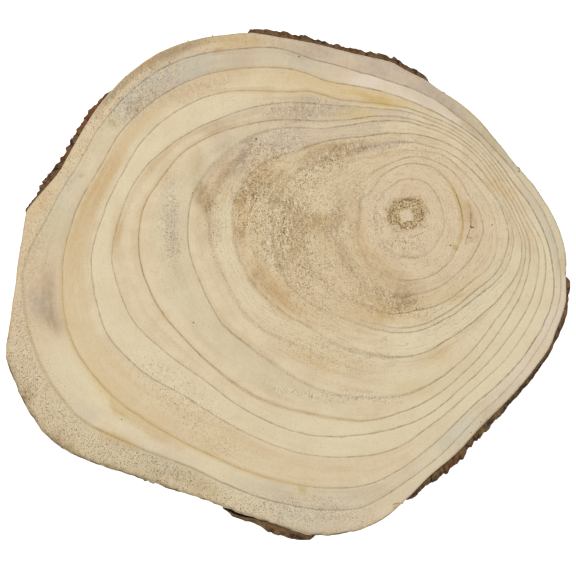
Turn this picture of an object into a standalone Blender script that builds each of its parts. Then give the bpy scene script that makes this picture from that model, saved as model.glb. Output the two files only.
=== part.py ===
"""A sawn wood slice: one disc with grooves along its growth rings, and the four bark remnants on its rim.

In metres: +X is to the right and +Y up as the sawn face is looked at, +Z out of that face. Bearings are
degrees counter-clockwise from +X, seen from the pith, and the two charts hold distances from the pith."""

import math

import bpy
import numpy as np

MM = 0.001
THICKNESS = 28.0
EDGE_BEVEL = 0.6
GROOVE_DEPTH = 0.45
GROOVE_HALF_WIDTH = 0.55
PITH_RADIUS = 2.9
PITH_DEPTH = 0.7

FINE_COLUMNS = 144
INNER_COLUMNS = 72
PITH_COLUMNS = 36
FIRST_FINE_RING = 6

WALL_WAVE = 0.7
BARK_GAP = 0.45
BARK_TOP = THICKNESS - 0.5
BARK_BOTTOM = 0.4
BARK_STEP = 3.0
BARK_ROWS = 6
END_RAGGEDNESS = 2.2
EDGE_NICKS = 1.4

# Bearing: how far the growth rings are from the pith there, from the pith outwards.
RING_CORES = {
    0: (8.5, 20.0, 30.2, 40.5, 48.0, 55.5, 57.7, 59.7, 61.9, 64.1, 66.6, 71.4, 76.3),
    20: (8.4, 19.3, 29.1, 35.4, 42.0, 46.6, 49.8, 52.3, 54.4, 56.3, 58.3, 60.4, 64.6),
    40: (9.0, 19.5, 29.1, 34.5, 38.5, 42.5, 46.8, 50.0, 52.0, 53.8, 55.5, 57.3, 60.3),
    60: (9.5, 20.0, 29.4, 33.3, 38.1, 40.8, 45.0, 49.2, 51.2, 53.1, 55.0, 57.0, 61.1),
    75: (8.0, 19.8, 28.5, 32.7, 36.0, 39.6, 44.4, 49.2, 51.2, 53.7, 55.8, 58.8, 65.1),
    90: (7.8, 19.2, 27.8, 31.3, 35.4, 40.0, 44.7, 51.3, 53.1, 56.8, 59.0, 63.6, 70.8),
    105: (7.7, 18.8, 26.5, 29.8, 35.4, 41.0, 46.4, 53.8, 56.5, 60.9, 63.8, 71.8, 80.2),
    120: (8.1, 17.6, 25.5, 29.3, 36.5, 43.2, 49.7, 57.6, 61.0, 69.3, 73.3, 85.0, 98.5),
    129: (8.5, 17.8, 25.0, 29.8, 40.2, 45.8, 54.4, 62.4, 66.9, 79.0, 88.0, 104.0, 119.5),
    135: (8.8, 18.0, 24.5, 30.0, 42.2, 47.5, 58.3, 67.3, 73.4, 88.0, 96.3, 115.6, 130.6),
    150: (9.0, 17.8, 24.0, 31.8, 46.6, 58.0, 70.9, 92.0, 100.8, 112.4, 130.5, 145.4, 160.6),
    165: (9.5, 18.0, 27.5, 34.0, 51.0, 69.5, 90.0, 111.3, 130.5, 140.2, 154.3, 167.9, 179.8),
    171: (9.9, 18.1, 27.0, 36.0, 53.5, 72.0, 94.0, 117.2, 138.0, 150.6, 160.2, 173.6, 185.8),
    180: (10.2, 18.2, 26.5, 38.5, 57.0, 75.5, 98.0, 122.6, 148.7, 160.6, 170.2, 186.1, 200.8),
    190: (10.4, 18.5, 27.5, 40.0, 59.5, 76.2, 98.0, 124.0, 152.1, 167.7, 179.8, 196.3, 219.0),
    200: (10.8, 19.0, 29.0, 40.0, 61.0, 77.5, 96.5, 121.9, 149.2, 165.7, 181.5, 201.1, 222.3),
    210: (10.6, 19.5, 32.0, 44.2, 62.5, 77.5, 93.0, 120.8, 142.8, 156.0, 173.6, 195.7, 218.4),
    220: (8.8, 20.5, 33.0, 45.0, 60.0, 75.0, 88.6, 115.8, 137.7, 146.6, 160.6, 184.9, 201.4),
    230: (7.8, 21.5, 35.3, 45.5, 60.0, 71.5, 84.0, 112.4, 133.4, 142.8, 154.3, 175.3, 186.6),
    245: (8.2, 23.0, 36.5, 48.7, 56.5, 67.5, 83.3, 110.1, 124.3, 136.2, 147.5, 165.7, 177.9),
    260: (8.2, 24.3, 37.5, 48.0, 57.0, 67.1, 81.5, 104.8, 117.7, 125.2, 137.8, 155.2, 168.0),
    269: (8.0, 24.6, 37.5, 46.8, 55.5, 66.6, 80.3, 101.6, 110.7, 118.9, 129.6, 142.4, 151.4),
    275: (7.9, 25.0, 37.5, 45.4, 54.7, 66.1, 79.0, 98.0, 106.3, 114.0, 120.9, 132.1, 141.0),
    290: (8.0, 25.2, 37.3, 45.0, 54.0, 62.8, 73.3, 88.1, 94.2, 100.0, 105.7, 112.9, 119.5),
    310: (8.3, 23.8, 35.9, 43.6, 52.4, 60.6, 70.0, 77.3, 82.6, 89.4, 95.6, 102.8, 107.2),
    330: (8.5, 22.3, 33.3, 43.6, 54.6, 63.4, 70.0, 73.2, 76.4, 82.6, 87.5, 94.0, 98.2),
    345: (8.5, 21.3, 32.0, 43.6, 52.0, 61.5, 66.1, 68.4, 70.9, 75.6, 79.2, 82.5, 87.2),
}

# Bearing: how far the edge of the wood is from the pith there.
WOOD_EDGE = {
    0: 80.1, 6: 76.5, 14: 71.7, 20: 68.4, 26: 65.9, 34: 64.7, 40: 64.4, 46: 64.9,
    54: 66.2, 60: 67.4, 66: 68.7, 75: 71.4, 81: 74.6, 90: 79.6, 96: 84.9, 105: 91.1,
    111: 97.2, 120: 110.6, 126: 122.0, 135: 141.6, 141: 154.4, 144: 160.4, 150: 169.6,
    156: 177.5, 161: 183.2, 168: 190.1, 173: 196.2, 175: 200.6, 178: 208.8, 180: 212.4,
    186: 217.7, 190: 222.6, 194: 228.0, 197: 234.0, 199.5: 239.3, 204: 239.4, 207: 239.2,
    210: 238.0, 214: 234.0, 220: 220.8, 224: 211.8, 230: 202.2, 236: 195.0, 245: 190.0,
    251: 188.4, 254: 187.2, 260: 181.2, 266: 170.0, 269: 162.0, 275: 147.2, 281: 137.7,
    290: 125.0, 296: 120.0, 304: 115.0, 310: 111.9, 316: 109.4, 324: 104.7, 330: 101.9,
    339: 95.0, 345: 91.8, 351: 87.6,
}

# Name: first and last bearing, then thickness and lift off the wood, each at even steps along the strip.
BARK_STRIPS = {
    "bark_top": (
        82.4,
        130.8,
        (1.5, 3.0, 2.6, 2.3, 2.7, 2.6, 3.4, 3.9, 3.3, 3.8, 2.3),
        (0.0, 0.0, 0.0, 0.0, 0.0, 0.0, 0.0, 0.0, 0.2, 0.5, 0.6),
    ),
    "bark_left": (
        157.8,
        179.6,
        (0.9, 2.0, 3.6, 4.2, 5.0, 4.2, 4.9, 4.2, 2.5, 0.9, 0.7),
        (0.4, 0.3, 0.3, 0.3, 0.3, 0.3, 0.4, 0.4, 0.4, 0.4, 0.4),
    ),
    "bark_right": (
        270.4,
        337.2,
        (2.6, 5.6, 5.0, 4.4, 3.4, 3.0, 2.3, 2.0, 1.9, 1.0, 2.0),
        (3.4, 1.6, 0.4, 0.1, 0.0, 0.0, 0.0, 0.0, 0.0, 0.0, 0.3),
    ),
    "bark_bottom": (
        238.4,
        253.6,
        (1.6, 2.6, 2.6, 2.2, 2.3, 2.7, 3.1, 3.4, 3.8, 3.5, 2.0),
        (1.7, 1.6, 1.4, 1.0, 0.5, 0.2, 0.0, 0.0, 0.0, 0.1, 0.4),
    ),
}


def around(chart, bearing):
    """The chart's value at any bearing, by a cubic that never overshoots the values beside it."""
    known = sorted(chart)
    count = len(known)
    after = next((i for i, b in enumerate(known) if b > bearing % 360), count)

    def place(i):
        return known[i % count] + 360 * (i // count)

    def slope(i):
        rise = np.subtract(chart[known[(i + 1) % count]], chart[known[i % count]])
        return rise / (place(i + 1) - place(i))

    def tangent(i):
        before, beyond = slope(i - 1), slope(i)
        both = before + beyond
        flat = before * beyond <= 0
        return np.where(flat, 0, 2 * before * beyond / np.where(flat, 1, both))

    start, end = place(after - 1), place(after)
    span = end - start
    t = (bearing % 360 - start) / span
    low = np.asarray(chart[known[(after - 1) % count]], float)
    high = np.asarray(chart[known[after % count]], float)
    return (
        (1 + 2 * t) * (1 - t) ** 2 * low
        + t * (1 - t) ** 2 * span * tangent(after - 1)
        + t * t * (3 - 2 * t) * high
        + t * t * (t - 1) * span * tangent(after)
    )


def ripple(place, seed):
    """A smooth, uneven wave between about -1 and 1; `place` grows by 1 from one bump to the next."""
    shift = np.random.default_rng(seed).uniform(0, 2 * math.pi, 3)
    waves = [
        math.sin(2 * math.pi * rate * place + turn)
        for rate, turn in zip((1, 0.61, 0.37), shift)
    ]
    return sum(waves) / 2.2


def wall_offset(bearing, height):
    """How far the side wall stands out from the edge chart: broad flutes that fade towards both faces."""
    share = math.sin(math.pi * min(max(height / THICKNESS, 0), 1))
    turn = math.radians(bearing)
    flutes = math.sin(5 * turn + 0.8) + 0.6 * math.sin(11 * turn + 2.1) + 0.4 * math.sin(23 * turn)
    return WALL_WAVE * share * flutes / 2


def point(bearing, distance, height):
    turn = math.radians(bearing)
    return (distance * MM * math.cos(turn), distance * MM * math.sin(turn), height * MM)


class Skin:
    """Points and faces of one closed surface, added a loop at a time."""

    def __init__(self):
        self.points = []
        self.faces = []

    def loop(self, points):
        first = len(self.points)
        self.points.extend(points)
        return list(range(first, first + len(points)))

    def band(self, inner, outer):
        """Faces between two loops that go the same way round, the outer with as many points or twice as many."""
        ratio = len(outer) // len(inner)
        for i, here in enumerate(inner):
            there = inner[(i + 1) % len(inner)]
            beside = [outer[(i * ratio + k) % len(outer)] for k in range(ratio + 1)]
            self.faces.append((here, beside[0], beside[1]))
            if ratio == 2:
                self.faces.append((here, beside[1], there))
            self.faces.append((beside[-2], beside[-1], there) if ratio == 2 else (here, beside[1], there))

    def fan(self, centre, outer):
        for i, here in enumerate(outer):
            self.faces.append((centre, here, outer[(i + 1) % len(outer)]))

    def object(self, name, material):
        mesh = bpy.data.meshes.new(name)
        mesh.from_pydata(self.points, [], self.faces)
        mesh.materials.append(material)
        made = bpy.data.objects.new(name, mesh)
        return made


def columns_of(ring):
    if ring == 0:
        return PITH_COLUMNS
    return FINE_COLUMNS if ring >= FIRST_FINE_RING else INNER_COLUMNS


def ring_loops(skin, ring):
    """Inner lip, floor and outer lip of the groove along one growth ring."""
    columns = columns_of(ring)
    loops = ([], [], [])
    for i in range(columns):
        bearing = 360 * i / columns
        rings = np.append(around(RING_CORES, bearing), around(WOOD_EDGE, bearing) - EDGE_BEVEL)
        beside = min(rings[ring + 1] - rings[ring], rings[ring] - (rings[ring - 1] if ring else 0))
        half = min(GROOVE_HALF_WIDTH, 0.3 * beside)
        loops[0].append(point(bearing, rings[ring] - half, THICKNESS))
        loops[1].append(point(bearing, rings[ring], THICKNESS - GROOVE_DEPTH))
        loops[2].append(point(bearing, rings[ring] + half, THICKNESS))
    return [skin.loop(points) for points in loops]


def edge_loop(skin, inset, height):
    bearings = [360 * i / FINE_COLUMNS for i in range(FINE_COLUMNS)]
    return skin.loop(
        [
            point(b, around(WOOD_EDGE, b) + wall_offset(b, height) - inset, height)
            for b in bearings
        ]
    )


def wood_disc(material):
    """The disc: a small dimple at the pith, a groove along each ring, softened edges and a fluted wall."""
    skin = Skin()
    centre = skin.loop([(0, 0, (THICKNESS - PITH_DEPTH) * MM)])[0]
    last = skin.loop(
        [point(360 * i / PITH_COLUMNS, PITH_RADIUS, THICKNESS) for i in range(PITH_COLUMNS)]
    )
    skin.fan(centre, last)
    for ring in range(len(RING_CORES[0])):
        for loop in ring_loops(skin, ring):
            skin.band(last, loop)
            last = loop
    wall = [
        (EDGE_BEVEL, THICKNESS),
        (0, THICKNESS - EDGE_BEVEL),
        (0, 0.67 * THICKNESS),
        (0, 0.33 * THICKNESS),
        (0, EDGE_BEVEL),
        (EDGE_BEVEL, 0),
    ]
    for inset, height in wall:
        loop = edge_loop(skin, inset, height)
        skin.band(last, loop)
        last = loop
    skin.faces.append(tuple(reversed(last)))
    return skin.object("wood", material)


def along(values, share):
    return float(np.interp(share, np.linspace(0, 1, len(values)), values))


def bark_section(name, share, seed):
    """One cross-section of a strip: a smooth inner side that follows the wall, and a ridged outer side.

    Near a strip's two ends the section leans along the wall, so that the bark stops at a ragged line."""
    first, last, thicknesses, lifts = BARK_STRIPS[name]
    middle = first + share * (last - first)
    edge = float(around(WOOD_EDGE, middle))
    run = math.radians(middle) * edge
    thick = along(thicknesses, share)
    gap = BARK_GAP + along(lifts, share)
    lean = math.degrees(END_RAGGEDNESS / edge) * abs(2 * share - 1) ** 5
    bottom = BARK_BOTTOM + EDGE_NICKS * max(ripple(run / 7, seed + 3), 0)
    top = BARK_TOP - EDGE_NICKS * max(ripple(run / 6, seed + 4), 0)

    def wall_at(row):
        height = bottom + (top - bottom) * row / BARK_ROWS
        bearing = middle + lean * ripple(height / 9, seed + 2)
        return bearing, float(around(WOOD_EDGE, bearing)) + wall_offset(bearing, height) + gap, height

    points = []
    for row in range(BARK_ROWS + 1):
        bearing, inner, height = wall_at(row)
        ridges = ripple(run / 7 + 0.25 * math.sin(height / 5), seed)
        plates = ripple(height / 11 + 0.3 * math.sin(run / 13), seed + 1)
        rounding = 0.12 * thick if row in (0, BARK_ROWS) else 0
        relief = thick * (0.3 * ridges + 0.14 * plates) - rounding
        points.append(point(bearing, inner + max(thick + relief, 0.5), height))
    for row in (BARK_ROWS, BARK_ROWS // 2, 0):
        points.append(point(*wall_at(row)))
    return points


def bark_strip(name, seed, material):
    first, last = BARK_STRIPS[name][:2]
    middle = float(around(WOOD_EDGE, (first + last) / 2))
    sections = math.ceil(math.radians(last - first) * middle / BARK_STEP)
    skin = Skin()
    loops = [
        skin.loop(bark_section(name, i / sections, seed)) for i in range(sections + 1)
    ]
    for here, there in zip(loops, loops[1:]):
        skin.band(here, there)
    skin.faces.append(tuple(loops[0]))
    skin.faces.append(tuple(reversed(loops[-1])))
    return skin.object(name, material)


def paint(name, colour, roughness):
    material = bpy.data.materials.new(name)
    material.use_nodes = True
    shader = material.node_tree.nodes["Principled BSDF"]
    shader.inputs["Base Color"].default_value = (*colour, 1)
    shader.inputs["Roughness"].default_value = roughness
    return material


def centre_on_origin(objects):
    """Moves the whole slice so that the middle of its box's underside is the origin."""
    points = [v.co for made in objects for v in made.data.vertices]
    low = [min(p[axis] for p in points) for axis in range(3)]
    high = [max(p[axis] for p in points) for axis in range(3)]
    shift = ((low[0] + high[0]) / 2, (low[1] + high[1]) / 2, low[2])
    for made in objects:
        for vertex in made.data.vertices:
            vertex.co = [vertex.co[axis] - shift[axis] for axis in range(3)]


def main():
    for startup in list(bpy.data.objects):
        bpy.data.objects.remove(startup)
    collection = bpy.data.collections.new("wood_slice")
    bpy.context.scene.collection.children.link(collection)
    objects = [wood_disc(paint("wood", (0.66, 0.52, 0.34), 0.65))]
    for seed, name in enumerate(BARK_STRIPS):
        objects.append(bark_strip(name, 10 * seed, paint(name, (0.10, 0.055, 0.03), 0.9)))
    centre_on_origin(objects)
    for made in objects:
        collection.objects.link(made)


main()
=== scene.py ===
"""Looks of the sawn wood slice: the ringed wood, its bark remnants and crumbs, the floor, light and camera.

Distances are in millimetres and bearings in degrees counter-clockwise from +X, both seen from the pith. Marks
are placed by pixels of the photograph, which looks straight down and is taken to have 0.56 mm to a pixel."""

import math

import bpy
import numpy as np
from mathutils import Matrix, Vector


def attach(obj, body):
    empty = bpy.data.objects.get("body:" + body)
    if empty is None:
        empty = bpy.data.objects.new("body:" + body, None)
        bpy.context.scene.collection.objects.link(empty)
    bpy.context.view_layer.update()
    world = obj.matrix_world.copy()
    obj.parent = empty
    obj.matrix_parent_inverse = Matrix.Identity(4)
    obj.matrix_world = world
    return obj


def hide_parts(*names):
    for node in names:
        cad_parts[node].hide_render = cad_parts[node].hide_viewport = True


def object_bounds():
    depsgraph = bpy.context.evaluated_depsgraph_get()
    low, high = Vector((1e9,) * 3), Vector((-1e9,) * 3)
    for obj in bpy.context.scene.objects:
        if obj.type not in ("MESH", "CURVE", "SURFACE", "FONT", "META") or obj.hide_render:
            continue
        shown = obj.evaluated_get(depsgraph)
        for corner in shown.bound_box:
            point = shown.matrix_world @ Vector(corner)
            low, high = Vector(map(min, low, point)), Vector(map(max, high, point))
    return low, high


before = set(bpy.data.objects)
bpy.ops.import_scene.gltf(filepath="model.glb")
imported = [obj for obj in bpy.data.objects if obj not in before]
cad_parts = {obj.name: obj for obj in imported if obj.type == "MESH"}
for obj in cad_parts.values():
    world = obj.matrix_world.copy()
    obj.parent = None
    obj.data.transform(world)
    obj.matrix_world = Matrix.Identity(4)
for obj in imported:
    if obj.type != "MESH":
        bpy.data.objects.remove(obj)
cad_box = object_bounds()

MM = 0.001
THICKNESS = 28.0
EDGE_BEVEL = 0.6
WALL_WAVE = 0.7
GROOVE_DEPTH = 0.3
GROOVE_HALF_WIDTH = 0.5

PHOTO_SIDE = 576
PHOTO_MM = 0.56
PHOTO_PITH = (407.5, 213.5)

# The camera's height over the sawn face and half a side of the floor are in metres.
CAMERA_HEIGHT = 1.5
FLOOR_HALF_SIDE = 4.0
FLOOR_GAP = 0.2
SENSOR_WIDTH = 36.0

COLUMNS = 600
ROW_SPACING = 2.9
PITH_ROWS = 14

# Line names from the pith outwards. F_twin and H are partial lines between two full ones.
LINES = ("P", "B", "C", "D", "E", "F_twin", "F", "G", "H", "R6", "R5", "R4", "R3", "R2", "R1")

# Bearing: how far the growth rings are from the pith there, from the pith outwards.
RING_CORES = {
    0: (8.5, 20.0, 30.2, 40.5, 48.0, 55.5, 57.7, 59.7, 61.9, 64.1, 66.6, 71.4, 76.3),
    20: (8.4, 19.3, 29.1, 35.4, 42.0, 46.6, 49.8, 52.3, 54.4, 56.3, 58.3, 60.4, 64.6),
    40: (9.0, 19.5, 29.1, 34.5, 38.5, 42.5, 46.8, 50.0, 52.0, 53.8, 55.5, 57.3, 60.3),
    60: (9.5, 20.0, 29.4, 33.3, 38.1, 40.8, 45.0, 49.2, 51.2, 53.1, 55.0, 57.0, 61.1),
    75: (8.0, 19.8, 28.5, 32.7, 36.0, 39.6, 44.4, 49.2, 51.2, 53.7, 55.8, 58.8, 65.1),
    90: (7.8, 19.2, 27.8, 31.3, 35.4, 40.0, 44.7, 51.3, 53.1, 56.8, 59.0, 63.6, 70.8),
    105: (7.7, 18.8, 26.5, 29.8, 35.4, 41.0, 46.4, 53.8, 56.5, 60.9, 63.8, 71.8, 80.2),
    120: (8.1, 17.6, 25.5, 29.3, 36.5, 43.2, 49.7, 57.6, 61.0, 69.3, 73.3, 85.0, 98.5),
    129: (8.5, 17.8, 25.0, 29.8, 40.2, 45.8, 54.4, 62.4, 66.9, 79.0, 88.0, 104.0, 119.5),
    135: (8.8, 18.0, 24.5, 30.0, 42.2, 47.5, 58.3, 67.3, 73.4, 88.0, 96.3, 115.6, 130.6),
    150: (9.0, 17.8, 24.0, 31.8, 46.6, 58.0, 70.9, 92.0, 100.8, 112.4, 130.5, 145.4, 160.6),
    165: (9.5, 18.0, 27.5, 34.0, 51.0, 69.5, 90.0, 111.3, 130.5, 140.2, 154.3, 167.9, 179.8),
    171: (9.9, 18.1, 27.0, 36.0, 53.5, 72.0, 94.0, 117.2, 138.0, 150.6, 160.2, 173.6, 185.8),
    180: (10.2, 18.2, 26.5, 38.5, 57.0, 75.5, 98.0, 122.6, 148.7, 160.6, 170.2, 186.1, 200.8),
    190: (10.4, 18.5, 27.5, 40.0, 59.5, 76.2, 98.0, 124.0, 152.1, 167.7, 179.8, 196.3, 219.0),
    200: (10.8, 19.0, 29.0, 40.0, 61.0, 77.5, 96.5, 121.9, 149.2, 165.7, 181.5, 201.1, 222.3),
    210: (10.6, 19.5, 32.0, 44.2, 62.5, 77.5, 93.0, 120.8, 142.8, 156.0, 173.6, 195.7, 218.4),
    220: (8.8, 20.5, 33.0, 45.0, 60.0, 75.0, 88.6, 115.8, 137.7, 146.6, 160.6, 184.9, 201.4),
    230: (7.8, 21.5, 35.3, 45.5, 60.0, 71.5, 84.0, 112.4, 133.4, 142.8, 154.3, 175.3, 186.6),
    245: (8.2, 23.0, 36.5, 48.7, 56.5, 67.5, 83.3, 110.1, 124.3, 136.2, 147.5, 165.7, 177.9),
    260: (8.2, 24.3, 37.5, 48.0, 57.0, 67.1, 81.5, 104.8, 117.7, 125.2, 137.8, 155.2, 168.0),
    269: (8.0, 24.6, 37.5, 46.8, 55.5, 66.6, 80.3, 101.6, 110.7, 118.9, 129.6, 142.4, 151.4),
    275: (7.9, 25.0, 37.5, 45.4, 54.7, 66.1, 79.0, 98.0, 106.3, 114.0, 120.9, 132.1, 141.0),
    290: (8.0, 25.2, 37.3, 45.0, 54.0, 62.8, 73.3, 88.1, 94.2, 100.0, 105.7, 112.9, 119.5),
    310: (8.3, 23.8, 35.9, 43.6, 52.4, 60.6, 70.0, 77.3, 82.6, 89.4, 95.6, 102.8, 107.2),
    330: (8.5, 22.3, 33.3, 43.6, 54.6, 63.4, 70.0, 73.2, 76.4, 82.6, 87.5, 94.0, 98.2),
    345: (8.5, 21.3, 32.0, 43.6, 52.0, 61.5, 66.1, 68.4, 70.9, 75.6, 79.2, 82.5, 87.2),
}

# Bearing: how far along a partial line lies from the full line inside it to the one outside it.
TWIN_SHARE = {0: 0.77, 12: 0.9, 30: 0.7, 240: 0.7, 275: 0.76, 290: 0.68, 310: 0.62, 330: 0.6, 345: 0.7}
H_SHARE = {0: 0.5, 180: 0.52, 200: 0.47, 215: 0.54, 230: 0.44, 245: 0.34, 260: 0.4, 300: 0.5}

# Bearing: how far the edge of the wood is from the pith there.
WOOD_EDGE = {
    0: 80.9, 6: 76.5, 14: 71.7, 20: 68.4, 26: 65.9, 34: 64.7, 40: 64.4, 46: 64.9, 54: 66.2, 60: 67.4,
    66: 68.7, 75: 71.4, 81: 74.6, 90: 79.6, 96: 84.9, 105: 91.1, 111: 97.2, 120: 110.6, 126: 122.0,
    132: 136.2, 135: 141.9, 138: 148.3, 141: 154.4, 144: 160.4, 147: 165.6, 150: 170.2, 153: 174.2,
    156: 177.9, 161: 183.2, 168: 190.1, 173: 196.2, 175: 200.6, 178: 208.8, 180: 213.6, 183: 215.9,
    186: 218.7, 190: 222.9, 194: 228.8, 197: 234.0, 199.5: 239.3, 204: 239.4, 207: 239.2, 210: 238.4,
    214: 234.0, 220: 220.8, 224: 211.8, 230: 202.2, 236: 195.0, 245: 190.0, 251: 188.4, 254: 187.2,
    260: 181.2, 264: 174.7, 266: 170.4, 269: 162.0, 275: 147.2, 281: 137.7, 290: 125.0, 296: 120.0,
    304: 115.0, 310: 111.9, 316: 109.4, 324: 104.7, 330: 101.9, 339: 95.0, 345: 91.8, 351: 87.6,
}

# Line: how dark it is at bearings 0, 30, 60 ... 330.
INK = {
    "P": (0.4, 0.4, 0.3, 0.3, 0.4, 0.5, 0.5, 0.4, 0.3, 0.25, 0.3, 0.3),
    "B": (0.35, 0.35, 0.35, 0.4, 0.35, 0.3, 0.25, 0.2, 0.3, 0.45, 0.35, 0.3),
    "C": (0.6, 0.45, 0.4, 0.45, 0.4, 0.3, 0.35, 0.3, 0.3, 0.45, 0.4, 0.45),
    "D": (0.4, 0.35, 0.45, 0.45, 0.4, 0.25, 0.15, 0.15, 0.15, 0.3, 0.3, 0.4),
    "E": (0.25, 0.3, 0.35, 0.35, 0.25, 0.2, 0.15, 0.15, 0.3, 0.5, 0.5, 0.35),
    "F_twin": (0.5, 0, 0, 0, 0, 0, 0, 0, 0, 0.5, 0.6, 0.5),
    "F": (0.3, 0.5, 0.45, 0.5, 0.35, 0.25, 0.4, 0.35, 0.3, 0.55, 0.6, 0.45),
    "G": (0.3, 0.45, 0.5, 0.65, 0.6, 0.5, 0.35, 0.3, 0.35, 0.6, 0.65, 0.5),
    "H": (0, 0, 0, 0, 0, 0, 0.3, 0.45, 0.35, 0, 0, 0),
    "R6": (0.4, 0.4, 0.4, 0.55, 0.5, 0.4, 0.5, 0.5, 0.5, 0.6, 0.5, 0.45),
    "R5": (0.4, 0.45, 0.5, 0.6, 0.55, 0.5, 0.7, 0.75, 0.6, 0.55, 0.5, 0.55),
    "R4": (0.4, 0.4, 0.45, 0.5, 0.45, 0.5, 0.45, 0.45, 0.5, 0.6, 0.5, 0.5),
    "R3": (0.45, 0.45, 0.5, 0.5, 0.6, 0.5, 0.5, 0.45, 0.4, 0.5, 0.4, 0.45),
    "R2": (0.65, 0.6, 0.6, 0.55, 0.7, 0.5, 0.5, 0.6, 0.5, 0.5, 0.75, 0.65),
    "R1": (0.45, 0.5, 0.5, 0.55, 0.6, 0.5, 0.4, 0.6, 0.65, 0.5, 0.35, 0.4),
}

# Line, first and last bearing, strength: where a line is reddish brown, and where it breaks up into specks.
WARM_LINES = (
    ("R5", 160, 255, 0.45),
    ("R2", 192, 245, 1.0),
    ("R1", 196, 226, 0.45),
    ("R3", 100, 140, 0.8),
    ("R2", 122, 142, 0.5),
    ("C", 335, 30, 1.0),
    ("E", 60, 120, 0.4),
)
SPECKLED_LINES = (
    ("H", 165, 275, 1.0),
    ("R6", 226, 268, 0.9),
    ("R6", 156, 168, 0.9),
    ("R5", 226, 250, 0.7),
    ("G", 152, 262, 0.8),
    ("F", 100, 250, 0.8),
    ("E", 100, 250, 0.9),
    ("D", 130, 262, 0.9),
    ("C", 130, 262, 0.8),
    ("B", 120, 300, 0.6),
    ("P", 0, 359, 0.9),
    ("R1", 190, 212, 0.75),
    ("R1", 218, 230, 0.4),
)

# sRGB colours of the wood, of what stains it and of the bark.
COLOURS = {
    "base": (214, 195, 160),
    "cream": (220, 206, 172),
    "lilac": (207, 191, 164),
    "chalk": (221, 205, 184),
    "mist": (185, 176, 162),
    "frost": (207, 201, 177),
    "tan": (209, 186, 146),
    "blush": (211, 187, 154),
    "ochre": (198, 165, 108),
    "yellow": (206, 178, 112),
    "rust": (180, 140, 80),
    "brown": (188, 160, 116),
    "umber": (150, 120, 75),
    "plum": (194, 167, 136),
    "violet": (156, 134, 108),
    "grey": (188, 170, 151),
    "slate": (192, 180, 156),
    "sage": (200, 190, 158),
    "olive": (184, 168, 100),
    "moss": (120, 98, 52),
    "soot": (84, 58, 32),
    "crumb": (96, 70, 38),
    "ground": (211, 191, 157),
    "pale_ground": (218, 200, 167),
    "hair": (112, 90, 62),
    "dark_grain": (122, 94, 58),
    "light_grain": (234, 220, 188),
    "pore": (98, 66, 30),
    "ink": (84, 68, 48),
    "warm_ink": (134, 96, 48),
    "pith_ground": (176, 148, 104),
    "pith_dark": (98, 72, 40),
    "pith_light": (226, 208, 170),
    "saw_mark": (150, 118, 80),
    "wall": (188, 160, 120),
    "fibre": (160, 128, 90),
    "bast": (104, 74, 48),
    "rim": (200, 188, 162),
    "grime_and_shade": (66, 50, 32),
    "dark_fibre": (112, 84, 56),
    "light_fibre": (214, 190, 150),
    "wall_patch": (120, 90, 60),
    "wall_fleck": (70, 48, 30),
    "bark_outside": (122, 97, 66),
    "bark_deep": (58, 42, 28),
    "bark_inside": (122, 90, 58),
    "bark_red": (124, 78, 47),
    "bark_hollow": (52, 36, 24),
    "bark_crest": (142, 112, 80),
    "bark_fleck": (40, 28, 18),
    "bark_dust": (160, 130, 96),
}

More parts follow.
